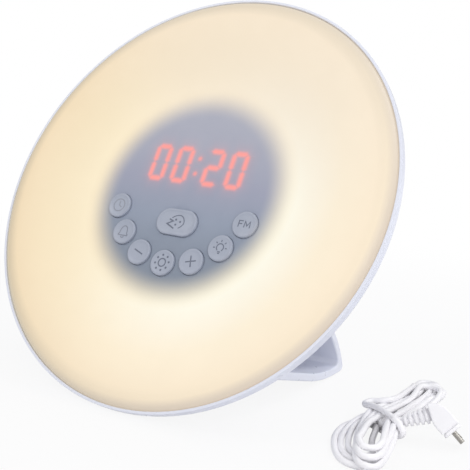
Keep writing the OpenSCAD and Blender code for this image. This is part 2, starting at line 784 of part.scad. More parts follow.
// ===== wires ===================================================================================
module wiring() {
    board_wire_x = inlet_at[0] - 3;
    color("firebrick") head_frame() {
        for (v = [-2, 2]) {
            rod([board_wire_x, v], wire_d, inlet_board_h + inlet_board_size[2], board_low);
            led_wire(v);
        }
        for (s = [-1, 1]) {
            rod(speaker_at + [s * (speaker_d / 2 - 1.2), 0], wire_d, floor_h + speaker_h,
                board_low);
            rod(bay_wire_at(s), wire_d, contact_top, board_low);
        }
    }
}

// from the LED board down past the shield's flange and inwards under the main board
module led_wire(v) {
    x = led_board_in + 2;
    run_h = board_low - wire_d / 2;
    rod([-x, v], wire_d, run_h, dish_low);
    translate([-x, v, run_h]) rotate([0, 90, 0])
        cylinder(d = wire_d, h = x - board_r + 2.5, $fn = 24);
    translate([-x, v, run_h]) sphere(d = wire_d, $fn = 24);
}

// ===== stand ===================================================================================
module band_plan() {
    polygon(concat(
        [reach(on_base(0), base_dir, base_end_h)],
        arc(base_c, base_bend_r, -90 - base_rise, -90, 6),
        arc(corner_c, corner_r, -90, wall_lean[0], 8),
        arc(wall_c, wall_bend_r, wall_lean[0] + 1, wall_lean[1], 5),
        [reach(on_wall(0), wall_dir, wall_end_h),
         reach(on_wall(band_t), wall_dir, wall_end_h)],
        arc(wall_c, wall_bend_r - band_t, wall_lean[1], fillet_a + 1, 3),
        arc(fillet_c, inner_fillet, fillet_a, -90, 8),
        arc(base_c, base_bend_r - band_t, -90, -90 - base_rise, 6),
        [reach(on_base(band_t), base_dir, base_end_h)]));
}

module stand() {
    color("whitesmoke") difference() {
        union() {
            rotate([90, 0, 90]) linear_extrude(stand_w, center = true) band_plan();
            head_frame() for (s = [-1, 1]) {
                rod([s * hub_boss_at[0], hub_boss_at[1]], hub_boss_d, hub_h - hub_boss_l,
                    hub_h + 2);
                rod([s * base_boss_at[0], base_boss_at[1]], base_boss_d, base_boss_low,
                    base_boss_top);
            }
        }
        head_frame() dome_volume(head_gap);
        head_frame() for (s = [-1, 1]) {
            rod([s * hub_boss_at[0], hub_boss_at[1]], case_screw[2] + 2 * pilot_gap,
                stand_screw_end[0] - 0.4, hub_h + cut);
            rod([s * base_boss_at[0], base_boss_at[1]], case_screw[2] + 2 * pilot_gap,
                stand_screw_end[1] - 0.4, base_boss_top - cut);
        }
        translate([-pad_size[0] / 2, pad_y - pad_size[1] / 2, -cut])
            cube([pad_size[0], pad_size[1], pad_t + cut]);
    }
}

module stand_screws() {
    color("silver") head_frame() for (s = [-1, 1]) {
        screw([s * hub_boss_at[0], hub_boss_at[1]], case_screw, hub_seat,
              stand_screw_end[0]);
        screw([s * base_boss_at[0], base_boss_at[1]], case_screw, base_seat,
              stand_screw_end[1]);
    }
}

module foot_pad() {
    color("gray") translate([-pad_size[0] / 2, pad_y - pad_size[1] / 2, 0])
        cube([pad_size[0], pad_size[1], pad_t]);
}

// ===== supply lead =============================================================================
// smooth curve through the route points
function spline(p, i, t) =
    let (a = p[max(i - 1, 0)], b = p[i], c = p[i + 1], d = p[min(i + 2, len(p) - 1)])
    0.5 * (2 * b + (c - a) * t + (2 * a - 5 * b + 4 * c - d) * t * t
           + (3 * b - a - 3 * c + d) * t * t * t);
function route(p) =
    concat([for (i = [0:len(p) - 2], k = [0:tube_steps - 1]) spline(p, i, k / tube_steps)],
           [p[len(p) - 1]]);
function unit(v) = v / norm(v);
function heading(q, i) = unit(q[min(i + 1, len(q) - 1)] - q[max(i - 1, 0)]);

module cord_tube(points) {
    q = route(points);
    n = len(q);
    m = tube_sides;
    rings = [for (i = [0:n - 1], k = [0:m - 1])
        let (d = heading(q, i), e = unit(cross(d, [0, 0, 1])), f = cross(e, d),
             a = 360 * k / m)
        q[i] + cord_d / 2 * (cos(a) * e + sin(a) * f)];
    sides = [for (i = [0:n - 2], k = [0:m - 1])
        let (k2 = (k + 1) % m)
        [i * m + k, (i + 1) * m + k, (i + 1) * m + k2, i * m + k2]];
    ends = [[for (k = [0:m - 1]) k], [for (k = [m - 1:-1:0]) (n - 1) * m + k]];
    polyhedron(rings, concat(sides, ends));
}

module cord_hank() {
    a = hank_ends[0];
    b = hank_ends[1];
    color("white") linear_extrude(hank_h) {
        for (e = hank_ends) translate([e[0], e[1]]) circle(r = e[2]);
        polygon([[a[0] - a[2], a[1]], [a[0] + a[2], a[1]], [hank_waist[1], hank_waist[2]],
                 [b[0] + b[2], b[1]], [b[0] - b[2], b[1]], [hank_waist[0], hank_waist[2]]]);
    }
}

module cord_lead() {
    color("white") cord_tube(lead_points);
}

module cord_tail() {
    color("white") cord_tube(tail_points);
}

module plug_frame() {
    translate(plug_at) rotate([0, 0, plug_turn]) rotate([plug_tilt, 0, 0]) children();
}

// stepped cone with ribs, along +X from its thin end
module ribbed_relief(l, r, ribs) {
    step = l / ribs;
    rotate([0, 90, 0]) for (k = [0:ribs - 1]) {
        r0 = r[0] + (r[1] - r[0]) * k / ribs;
        translate([0, 0, k * step]) cylinder(r = r0, h = step * 0.6 + eps, $fn = 32);
        translate([0, 0, k * step + step * 0.6]) cylinder(r = r0 - 0.4, h = step * 0.4 + eps,
                                                          $fn = 32);
    }
}

relief_foot = elbow_in + elbow_t / 2 * [cos(90 + relief_rise), sin(90 + relief_rise)];
nose_foot = elbow_in + elbow_t / 2 * [cos(90 - nose_fall), sin(90 - nose_fall)];

module strain_relief() {
    color("white") plug_frame() translate([relief_foot[0], relief_foot[1], 0])
        rotate(relief_rise) translate([-relief_l, 0, 0])
            ribbed_relief(relief_l - eps, relief_r, rib_count);
}

module micro_plug_body() {
    nose_dir = [cos(nose_fall), -sin(nose_fall)];
    color("white") plug_frame() translate([0, 0, -elbow_w / 2]) linear_extrude(elbow_w)
        polygon(concat([elbow_in],
            arc(elbow_in, elbow_t, 90 + relief_rise, 90 - nose_fall, 10),
            [elbow_in + elbow_t * [cos(90 - nose_fall), sin(90 - nose_fall)]
                 + nose_l * nose_dir,
             elbow_in + nose_l * nose_dir]));
}

module micro_plug_shell() {
    color("silver") plug_frame() translate([nose_foot[0], nose_foot[1], 0])
        rotate(-nose_fall) translate([nose_l, 0, 0]) difference() {
            translate([0, -micro_shell[1] / 2, -micro_shell[2] / 2]) cube(micro_shell);
            translate([0.6, -micro_shell[1] / 2 + 0.3, -micro_shell[2] / 2 + 0.3])
                cube(micro_shell - [0, 0.6, 0.6]);
        }
}

module usb_a_relief() {
    color("white") translate(usb_at)
        ribbed_relief(usb_relief_l - eps, usb_relief_r, rib_count);
}

module usb_a_body() {
    color("white") translate(usb_at + [usb_relief_l, -usb_body[1] / 2, -usb_body[2] / 2])
        cube(usb_body);
}

module usb_a_shell() {
    t = usb_shell_t;
    color("silver")
        translate(usb_at + [usb_relief_l + usb_body[0], -usb_shell[1] / 2, -usb_shell[2] / 2])
            difference() {
                cube(usb_shell);
                translate([1, t, t]) cube([usb_shell[0], usb_shell[1] - 2 * t,
                                           usb_shell[2] - 2 * t]);
            }
}

back_shell();
diffuser();
centre_shield();
reflector();
led_board();
leds();
led_screws();
main_board();
board_components();
board_screws();
display_module();
display_segments();
tact_switches();
time_button();
alarm_button();
minus_button();
brightness_button();
plus_button();
light_button();
radio_button();
snooze_button();
case_screws();
speaker_frame();
speaker_cone();
speaker_magnet();
battery_cover();
battery_cells();
battery_contacts();
inlet_board();
usb_inlet();
inlet_screws();
stand();
stand_screws();
foot_pad();
wiring();
cord_hank();
cord_lead();
cord_tail();
strain_relief();
micro_plug_body();
micro_plug_shell();
usb_a_relief();
usb_a_body();
usb_a_shell();
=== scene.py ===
import json
from math import atan2, ceil, cos, degrees, hypot, pi, radians, sin, sqrt

import bmesh
import bpy
import numpy as np
from mathutils import Matrix, Vector
from mathutils.geometry import delaunay_2d_cdt


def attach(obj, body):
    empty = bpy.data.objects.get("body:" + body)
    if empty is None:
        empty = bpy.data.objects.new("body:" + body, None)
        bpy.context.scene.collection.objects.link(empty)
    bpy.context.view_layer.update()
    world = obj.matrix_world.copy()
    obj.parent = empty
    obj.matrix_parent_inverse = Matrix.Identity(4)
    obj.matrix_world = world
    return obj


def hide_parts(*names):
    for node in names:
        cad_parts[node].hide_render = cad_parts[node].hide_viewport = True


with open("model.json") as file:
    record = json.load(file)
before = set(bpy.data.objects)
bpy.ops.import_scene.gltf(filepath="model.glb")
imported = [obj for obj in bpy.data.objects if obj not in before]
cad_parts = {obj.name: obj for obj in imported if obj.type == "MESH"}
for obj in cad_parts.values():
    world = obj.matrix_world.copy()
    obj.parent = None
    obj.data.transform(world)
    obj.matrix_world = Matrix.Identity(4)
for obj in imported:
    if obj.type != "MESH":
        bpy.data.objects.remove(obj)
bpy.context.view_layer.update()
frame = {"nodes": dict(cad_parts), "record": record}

# A round wake-up light on a looped stand, with its tied supply lead. Sizes are in millimetres
# and become metres as each mesh is made. Head frame: +X right, +Y up in the face, +Z out of it.
MM = 0.001
WHITE = (1, 1, 1, 1)

# ---- camera
CAMERA_AT = Vector((190.66, -269.89, 120.86)) * MM
CAMERA_RIGHT = Vector((0.8414, 0.5385, 0.0459))
CAMERA_UP = Vector((-0.1385, 0.1327, 0.9814))
CAMERA_BACK = Vector((0.5224, -0.8321, 0.1862))
FOCAL_PIXELS = 868.9
IMAGE_PIXELS = 470
SENSOR = 36


def add_object(name, data):
    """An object of the data, put in the scene."""
    thing = bpy.data.objects.new(name, data)
    bpy.context.scene.collection.objects.link(thing)
    return thing


def make_camera():
    data = bpy.data.cameras.new("camera")
    data.sensor_width = SENSOR
    data.lens = FOCAL_PIXELS / IMAGE_PIXELS * SENSOR
    data.clip_start, data.clip_end = 0.01, 20
    camera = add_object("camera", data)
    turn = Matrix((CAMERA_RIGHT, CAMERA_UP, CAMERA_BACK)).transposed()
    camera.matrix_world = Matrix.Translation(CAMERA_AT) @ turn.to_4x4()
    bpy.context.scene.camera = camera


# ---- head, as part.scad has it
HEAD_Y, HEAD_Z, LEAN = -5.15981, 75.6605, 30
HEAD_R, RIM_ROUND, LIP_DROP, SIDE_LOW = 85, 2.6, 0.6, -3.4
LIP_R, LEDGE_H, LEDGE_IN = 83.9, -2.9, 80
DOME_R, DOME_H0, HUB_R, HUB_H, SHELL_WALL = 82.4, -6, 44, -31, 2.6
FLOOR_H = HUB_H + SHELL_WALL
PANEL_R, PANEL_H, DIFFUSER_WALL = 39, -4.2, 1.6
CROWN_R, CROWN_H, EDGE_R, EDGE_H = 78, 1.8, 83.85, -2.4
BUTTON_D, BUTTON_GAP, RING_R, RING_UP, BUTTON_STEP = 10.2, 0.1, 31.5, 3, 22.7
BUTTON_TOP, FLANGE_TOP, FLANGE_T, FLANGE_W, STEM_D, STEM_LOW = -3.2, -5.95, 1, 0.8, 3.6, -10.9
SNOOZE_L, SNOOZE_W, SNOOZE_AT = 18.2, 10.6, (0, -12)
DIGIT_X, DIGITS_UP, DIGIT_H, DIGIT_W = (-17.8, -7.2, 7.2, 17.8), 11.9, 15.4, 7.4
SEGMENT_W, SEGMENT_GAP, DOT_D, DOT_UP = 1.7, 0.25, 1.9, 3.2
BAY_AT, BAY_IN, BAY_ROOF, BAY_WALL = (0, 12), (49.6, 34.6), -18.35, 1.4
COVER, COVER_T, COVER_GAP, COVER_RECESS = (54, 38.2), 1.8, 0.3, 1.9
SPEAKER_AT, SPEAKER_D, SLOT_W, SLOT_PITCH = (0, -29.5), 28, 1.6, 3.4
INLET_AT, INLET_SLOT = (35.5, 0), (3.6, 8.4)
CASE_SCREW_R, CASE_SCREW_ANGLES, CASE_SEAT, CASE_BOSS_LOW = 62, (40, 140, 208, 332), -15.2, -13.2
CASE_BOSS_R, CASE_HEAD_R, CASE_SHANK_R = 5, 3.3, 1.7
HUB_BOSS, HUB_BOSS_D, HUB_BOSS_L = (27, -21.7), 8, 5
BASE_BOSS, BASE_BOSS_D, BASE_BOSS_L = (23, -54.11), 7, 16

HEAD = (Matrix.Translation((0, HEAD_Y * MM, HEAD_Z * MM))
        @ Matrix.Rotation(radians(90 - LEAN), 4, "X"))
WORLD = Matrix.Identity(4)


def smooth(t):
    t = min(max(t, 0), 1)
    return t * t * (3 - 2 * t)


def dome_h(r):
    return DOME_H0 + (HUB_H - DOME_H0) * smooth((DOME_R - r) / (DOME_R - HUB_R))


def diffuser_h(r):
    return PANEL_H + (CROWN_H - PANEL_H) * smooth((r - PANEL_R) / (CROWN_R - PANEL_R))


def polar(r, a):
    """The point at radius r and angle a, in degrees."""
    return np.array((r * cos(radians(a)), r * sin(radians(a))))


def arc(centre, r, a0, a1, n):
    """Points on an arc, r being a radius or a pair of semi-axes."""
    rx, ry = r if isinstance(r, tuple) else (r, r)
    return [(centre[0] + rx * cos(radians(a)), centre[1] + ry * sin(radians(a)))
            for a in np.linspace(a0, a1, n + 1)]


def ring(r, centre=(0, 0), n=40, start=0):
    return arc(centre, r, start, start + 360, n)[:-1]


def rounding(r, h, n):
    """(inset, height) down a quarter round of radius r that starts at height h."""
    return [(r * (1 - sin(a)), h - r * (1 - cos(a)))
            for a in np.radians(np.linspace(0, 90, n))]


def button_at(i):
    x, y = polar(RING_R, -90 + (i - 3) * BUTTON_STEP)
    return x, RING_UP + y


# ---- node materials
def srgb(r, g, b):
    """A colour written as 0 to 255 display values, for a node socket."""
    return (*((c / 255 / 12.92 if c <= 10 else ((c / 255 + 0.055) / 1.055) ** 2.4)
              for c in (r, g, b)), 1)


class Nodes:
    """A node tree and short ways to write it."""

    def __init__(self, tree):
        self.tree = tree

    def add(self, kind, inputs={}, **settings):
        node = self.tree.nodes.new("ShaderNode" + kind)
        for key, value in settings.items():
            setattr(node, key, value)
        for key, value in inputs.items():
            self.put(node, key, value)
        return node

    def put(self, node, key, value):
        if isinstance(value, bpy.types.NodeSocket):
            self.tree.links.new(value, node.inputs[key])
        else:
            node.inputs[key].default_value = value

    def math(self, operation, a, b):
        return self.add("Math", {0: a, 1: b}, operation=operation).outputs[0]

    def vector(self, operation, *values, output="Value"):
        return self.add("VectorMath", dict(enumerate(values)), operation=operation).outputs[output]

    def step(self, value, low, high, to_low=0.0, to_high=1.0):
        """A smooth step of value between low and high."""
        return self.add("MapRange", {"Value": value, "From Min": low, "From Max": high,
                                     "To Min": to_low, "To Max": to_high},
                        interpolation_type="SMOOTHSTEP").outputs["Result"]

    def mix(self, factor, a, b, **settings):
        return self.add("Mix", {0: factor, 6: a, 7: b}, data_type="RGBA", **settings).outputs[2]

    def ramp(self, value, *stops):
        """A colour ramp of (position, r, g, b) stops."""
        node = self.add("ValToRGB", {"Fac": value})
        elements = node.color_ramp.elements
        while len(elements) < len(stops):
            elements.new(0.5)
        for element, (position, *colour) in zip(elements, stops):
            element.position, element.color = position, srgb(*colour)
        return node.outputs["Color"]

    def bump(self, height, strength, distance):
        return self.add("Bump", {"Height": height, "Strength": strength,
                                 "Distance": distance}).outputs["Normal"]


class Finish(Nodes):
    """A material whose textures lie in the object's own coordinates."""

    def __init__(self, name):
        self.material = bpy.data.materials.new(name)
        self.material.use_nodes = True
        super().__init__(self.material.node_tree)
        self.shader = self.tree.nodes["Principled BSDF"]
        self.where = self.add("TexCoord").outputs["Object"]

    def set(self, **inputs):
        for key, value in inputs.items():
            self.put(self.shader, key.replace("_", " "), value)

    def noise(self, scale, detail=2.0, where=None):
        return self.add("TexNoise", {"Vector": where or self.where, "Scale": scale,
                                     "Detail": detail}).outputs["Fac"]

    def vary(self, noise, low, high):
        """A number that follows a noise between low and high."""
        return self.step(noise, 0.3, 0.7, low, high)

    def shade(self, colour, amount, scale):
        """The colour with a slow, slight change of tone over the surface."""
        dark = tuple(c * (1 - amount) for c in colour[:3]) + (1,)
        return self.mix(self.noise(scale, 3), dark, colour)

    def face_place(self):
        """x, y, distance from the middle and the point itself, in the head's frame."""
        place = self.add("Mapping", {"Vector": self.where,
                                     "Location": (0, HEAD_Y * MM, HEAD_Z * MM),
                                     "Rotation": (radians(90 - LEAN), 0, 0),
                                     "Scale": (MM, MM, MM)}, vector_type="TEXTURE").outputs[0]
        split = self.add("SeparateXYZ", {"Vector": place})
        x, y = split.outputs[0], split.outputs[1]
        flat = self.add("CombineXYZ", {"X": x, "Y": y}).outputs[0]
        return x, y, self.vector("LENGTH", flat), flat


def moulded(name, colour, roughness=0.4, grain=0.06, tone=0.04, coat=0.0):
    """Moulded plastic: fine grain, slow changes of tone and of gloss."""
    f = Finish(name)
    f.set(Base_Color=f.shade(colour, tone, 60),
          Roughness=f.vary(f.noise(220, 4), roughness - 0.05, roughness + 0.06),
          Normal=f.bump(f.noise(1100, 1), grain, 0.00003),
          Coat_Weight=coat, Coat_Roughness=0.2)
    return f.material


def metal(name, colour, roughness=0.28):
    """Plated steel, drawn along one way."""
    f = Finish(name)
    along = f.add("Mapping", {"Vector": f.where, "Scale": (0.12, 1, 1)}).outputs[0]
    lines = f.noise(3200, 3, along)
    f.set(Base_Color=f.shade(colour, 0.12, 300), Metallic=1.0,
          Roughness=f.vary(lines, roughness - 0.08, roughness + 0.1),
          Normal=f.bump(lines, 0.08, 0.00003))
    return f.material


def board(name, colour):
    """Circuit board: solder mask with faint tracks under it."""
    f = Finish(name)
    tracks = f.add("TexBrick", {"Vector": f.where, "Scale": 260.0, "Mortar Size": 0.035,
                                "Color1": (0, 0, 0, 1), "Color2": (0.25, 0.25, 0.25, 1),
                                "Mortar": WHITE}).outputs["Color"]
    lighter = tuple(min(c * 1.5, 1) for c in colour[:3]) + (1,)
    f.set(Base_Color=f.mix(tracks, colour, lighter), Roughness=f.vary(f.noise(400), 0.3, 0.42),
          Normal=f.bump(tracks, 0.15, 0.00003))
    return f.material


def rubber(name, colour):
    """Matt rubber or paper with fine pits."""
    f = Finish(name)
    pits = f.add("TexVoronoi", {"Vector": f.where, "Scale": 1500.0}).outputs["Distance"]
    f.set(Base_Color=f.shade(colour, 0.1, 150), Roughness=f.vary(f.noise(500), 0.7, 0.85),
          Normal=f.bump(pits, 0.25, 0.00008))
    return f.material


def face_panel_grey_with_painted_shade(f, y):
    """The clock panel's grey, with painted shade making it a little darker downwards."""
    # painted shade: the ramp darkens the grey towards the bottom of the panel
    return f.ramp(f.step(y, -36, 36), (0, 133, 142, 157), (0.3, 147, 156, 174),
                  (0.6, 158, 161, 180), (1, 172, 174, 188))


def face_cream_with_painted_light_and_shade(f, radius, flat):
    """The lamp-lit cream: whitest near the centre, with painted light to the lower right, painted
    shade making it darker and warmer to the left, and painted shade on the rounded rim.
    """
    across = f.math("DIVIDE", radius, HEAD_R)
    # the outermost stops of each ramp are painted shade on the rounded rim
    right = f.ramp(across, (0.46, 250, 240, 214), (0.55, 255, 251, 234), (0.64, 255, 247, 228),
                   (0.76, 254, 241, 216), (0.9, 252, 236, 210), (0.945, 249, 233, 207),
                   (0.972, 226, 212, 194))
    left = f.ramp(across, (0.46, 242, 226, 196), (0.55, 251, 236, 204), (0.64, 248, 232, 199),
                  (0.76, 246, 228, 194), (0.9, 244, 223, 188), (0.945, 222, 205, 176),
                  (0.985, 205, 195, 170))
    # painted shade along the rim at the top
    top = f.ramp(across, (0.9, 246, 232, 212), (0.95, 228, 216, 198))
    heading = f.vector("NORMALIZE", flat, output=0)
    rightwards = f.vector("DOT_PRODUCT", heading, (0.94, -0.34, 0))
    upwards = f.vector("DOT_PRODUCT", heading, (0.26, 0.97, 0))
    # painted light towards the lower right, painted shade towards the left
    lit = f.mix(f.step(rightwards, -0.75, 0.85), left, right)
    return f.mix(f.step(upwards, 0.1, 1.0, 0.0, 0.6), lit, top)


PANEL_EDGE = 32.6, 45.2
LAMP_SHARE, DIGIT_SHARE = 0.5, 0.6


def face_edge(f, radius):
    """0 on the grey panel, 1 on the lit cream, with the blurred edge between."""
    return f.step(radius, *PANEL_EDGE)


def face_finish():
    """The diffuser's milky plastic with the lamp and the digits shining through it."""
    f = Finish("diffuser_glow")
    x, y, radius, flat = f.face_place()
    digits = f.add("Attribute", attribute_name="glow").outputs["Fac"]
    edge = face_edge(f, radius)
    ground = f.mix(edge, face_panel_grey_with_painted_shade(f, y), face_cream_with_painted_light_and_shade(f, radius, flat))
    ground = f.mix(f.noise(45, 2), ground, f.mix(0.03, ground, (0, 0, 0, 1)))
    colour = f.mix(digits, ground, srgb(255, 158, 152))
    # what shines by itself is taken off what the surface reflects
    share = f.math("MAXIMUM", f.math("MULTIPLY", edge, LAMP_SHARE),
                   f.math("MULTIPLY", digits, DIGIT_SHARE))
    dim = f.math("SUBTRACT", 1.0, share)
    dim = f.add("CombineColor", {0: dim, 1: dim, 2: dim}).outputs[0]
    f.set(Base_Color=f.mix(1.0, colour, dim, blend_type="MULTIPLY"),
          Emission_Color=colour, Emission_Strength=share,
          Roughness=f.vary(f.noise(160, 3), 0.42, 0.5),
          Normal=f.bump(f.noise(1800, 2), 0.03, 0.00005), Specular_IOR_Level=0.3)
    return f.material


def button_finish():
    """The buttons' satin grey, warmed a little by the lamp near the panel's edge."""
    f = Finish("button_satin")
    x, y, radius, flat = f.face_place()
    grey = f.mix(f.noise(120, 3), srgb(155, 162, 178), srgb(163, 169, 184))
    warm = f.math("MULTIPLY", face_edge(f, radius), 0.75)
    f.set(Base_Color=f.mix(warm, grey, srgb(222, 208, 186)),
          Roughness=f.vary(f.noise(300, 3), 0.36, 0.46),
          Normal=f.bump(f.noise(2400, 2), 0.05, 0.00005))
    return f.material


def mark_ink():
    """The ink of the buttons' marks, paled by painted lamp glow to the left and towards the lit
    cream.
    """
    f = Finish("mark_ink")
    x, y, radius, flat = f.face_place()
    dark = f.mix(f.noise(900, 3), srgb(98, 104, 120), srgb(112, 118, 134))
    # painted lamp glow: the ink turns paler to the left and over the lit cream
    painted_glow_fade = f.math("MAXIMUM", face_edge(f, radius), f.step(x, -27, -15, 0.6, 0))
    f.set(Base_Color=f.mix(painted_glow_fade, dark, srgb(160, 163, 174)),
          Roughness=f.vary(f.noise(700), 0.5, 0.62))
    return f.material


def digit_light():
    """The red of the display's own segments."""
    f = Finish("digit_light")
    f.set(Base_Color=f.shade(srgb(230, 60, 50), 0.1, 400), Roughness=0.35,
          Emission_Color=srgb(255, 70, 60), Emission_Strength=0.6)
    return f.material


FINISHES = {
    "white_shell": (moulded, "shell_white", srgb(228, 231, 243), 0.32, 0.04, 0.02, 0.15),
    "white_inner": (moulded, "inner_white", srgb(232, 232, 228), 0.5),
    "white_board": (board, "led_board_white", srgb(226, 227, 222)),
    "led": (moulded, "led_warm", srgb(250, 232, 170), 0.3),
    "green_board": (board, "board_green", srgb(28, 92, 56)),
    "dark_parts": (moulded, "dark_plastic", srgb(38, 38, 41), 0.45, 0.1),
    "steel": (metal, "plated_steel", srgb(168, 165, 160)),
    "display_grey": (moulded, "display_grey", srgb(160, 164, 172), 0.5),
    "cone_paper": (rubber, "cone_paper", srgb(44, 43, 42)),
    "cell": (moulded, "cell_sleeve", srgb(40, 96, 62), 0.25, 0.02),
    "foot": (rubber, "foot_rubber", srgb(150, 152, 158)),
    "wire": (moulded, "wire_red", srgb(150, 40, 34), 0.35, 0.02),
    "cord_white": (moulded, "cord_jacket", srgb(248, 247, 250), 0.42, 0.03, 0.02),
    "button_grey": (button_finish,),
    "mark_ink": (mark_ink,),
    "digit_red": (digit_light,),
    "diffuser": (face_finish,),
}
_made = {}


def finish_of(name):
    """A material of the table above, made on its first use."""
    if name not in _made:
        make, *details = FINISHES[name]
        _made[name] = make(*details)
    return _made[name]


# ---- mesh making
def solid(name, verts, faces, at=WORLD, sharp=32):
    """A mesh in millimetres, moved by a matrix in metres."""
    mesh = bpy.data.meshes.new(name)
    mesh.from_pydata([Vector(v) * MM for v in verts], [], faces)
    mesh.transform(at)
    bm = bmesh.new()
    bm.from_mesh(mesh)
    bmesh.ops.remove_doubles(bm, verts=bm.verts, dist=1e-7)
    bmesh.ops.recalc_face_normals(bm, faces=bm.faces)
    bm.to_mesh(mesh)
    bm.free()
    smooth_faces(mesh, sharp)
    return add_object(name, mesh)


def smooth_faces(mesh, sharp):
    """Smooth shading that keeps the edges above an angle in degrees."""
    mesh.polygons.foreach_set("use_smooth", [True] * len(mesh.polygons))
    mesh.set_sharp_from_angle(angle=radians(sharp))


def dress(thing, slot, body="clock", nodes=(), finish=None):
    """Gives a piece the finish of its slot or the named finish, puts it on its body and hides the
    CAD nodes that it stands for.
    """
    thing.data.materials.clear()
    thing.data.materials.append(finish_of(finish or slot))
    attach(thing, body)
    if nodes:
        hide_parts(*nodes)
    return thing


def piece(name, verts, faces, slot, at=WORLD, sharp=32, **details):
    return dress(solid(name, verts, faces, at, sharp), slot, **details)


def revolve(profile, n=64, closed=False, centre=(0, 0)):
    """Verts and faces of a profile of (radius, height) turned about the axis at centre."""
    verts, rings = [], []
    for r, h in profile:
        if r < 1e-9:
            rings.append([len(verts)] * n)
            verts.append((centre[0], centre[1], h))
            continue
        rings.append(list(range(len(verts), len(verts) + n)))
        verts += [(centre[0] + r * cos(a), centre[1] + r * sin(a), h)
                  for a in np.linspace(0, 2 * pi, n, endpoint=False)]
    faces = []
    for a, b in zip(rings, rings[1:] + rings[:1] * closed):
        for i in range(n):
            j = (i + 1) % n
            face = [a[i], a[j], b[j], b[i]]
            face = [v for k, v in enumerate(face) if v != face[k - 1]]
            if len(face) > 2:
                faces.append(face)
    return verts, faces


def loft(loops, capped=True):
    """Verts and faces through loops of equally many 3-D points."""
    n = len(loops[0])
    verts = [p for loop in loops for p in loop]
    faces = [[k * n + i, k * n + (i + 1) % n, (k + 1) * n + (i + 1) % n, (k + 1) * n + i]
             for k in range(len(loops) - 1) for i in range(n)]
    if capped:
        faces += [list(range(n)), [(len(loops) - 1) * n + i for i in reversed(range(n))]]
    return verts, faces


def merge(*parts):
    verts, faces = [], []
    for v, f in parts:
        faces += [[i + len(verts) for i in face] for face in f]
        verts += list(v)
    return verts, faces


def stadium(l, w, centre=(0, 0), n=24):
    """Outline of a slot l long and w wide."""
    half = (l - w) / 2
    return (arc((centre[0] + half, centre[1]), w / 2, -90, 90, n)
            + arc((centre[0] - half, centre[1]), w / 2, 90, 270, n))


def rounded(size, r, centre=(0, 0), n=6):
    """Outline of a rectangle with round corners."""
    x, y = size[0] / 2 - r, size[1] / 2 - r
    corners = [((x, -y), -90), ((x, y), 0), ((-x, y), 90), ((-x, -y), 180)]
    return [p for (cx, cy), a in corners
            for p in arc((centre[0] + cx, centre[1] + cy), r, a, a + 90, n)]


def slab(outline, h0, h1):
    return loft([[(x, y, h0) for x, y in outline], [(x, y, h1) for x, y in outline]])


def shrunk(outline, centre, size, inset):
    """An outline pulled in on every side by inset, for outlines centred on centre."""
    sx, sy = (size[0] - 2 * inset) / size[0], (size[1] - 2 * inset) / size[1]
    return [(centre[0] + (x - centre[0]) * sx, centre[1] + (y - centre[1]) * sy)
            for x, y in outline]


def stacked(size, r, levels, centre=(0, 0), n=6):
    """A block with round corners through levels of (inset of its sides, height)."""
    outline = rounded(size, r, centre, n)
    return loft([[(x, y, h) for x, y in shrunk(outline, centre, size, inset)]
                 for inset, h in levels])


def modify(thing, kind, **settings):
    """Gives thing a modifier and applies it."""
    modifier = thing.modifiers.new(kind, kind)
    for key, value in settings.items():
        setattr(modifier, key, value)
    graph = bpy.context.evaluated_depsgraph_get()
    graph.update()
    mesh = bpy.data.meshes.new_from_object(thing.evaluated_get(graph))
    thing.modifiers.clear()
    thing.data = mesh


def combine(thing, operation, *shapes, at=HEAD):
    """Cuts shapes or objects from thing, joins them or keeps what both hold, one by one."""
    for shape in shapes:
        other = solid("shape", *shape, at=at) if isinstance(shape, tuple) else shape
        modify(thing, "BOOLEAN", operation=operation, solver="EXACT", object=other)
        bpy.data.objects.remove(other)


def soften(thing, width, segments, angle):
    """Rounds the edges that are sharper than an angle in degrees."""
    modify(thing, "BEVEL", width=width * MM, segments=segments, limit_method="ANGLE",
           angle_limit=radians(angle), use_clamp_overlap=True)


def dress_solid(thing, sharp, slot, **details):
    """Evens out a cut solid's shading and dresses it."""
    smooth_faces(thing.data, sharp)
    modify(thing, "WEIGHTED_NORMAL", keep_sharp=True)
    dress(thing, slot, **details)


# ---- supply lead
CORD_D, CORD_STEP, CORD_FINE_STEP = 2.2, 1.5, 0.55
SETTLE_ROUNDS, PULL_HOME, SINK, STIFFNESS = 120, 0.2, 0.02, 0.25
LEAD = [(93.5, -0.8, 6), (90.8, -2.2, 4.8), (88.3, -3.4, 3.9)]
TAIL = [(88.4, -33.1, 1.4), (91.4, -32.7, 1.4), (94, -33.9, 1.4), (95.4, -37, 1.6),
        (95.9, -40.6, 2.2), (96.7, -43.8, 3.2), (98.2, -45.6, 3.9), (100, -46, 4.2)]
ENTER = [(85.4, -3.4, 3.4), (83.9, 0.4, 3.3), (84.4, 6, 3.3), (86.6, 22)]
WAIST_Y = 1
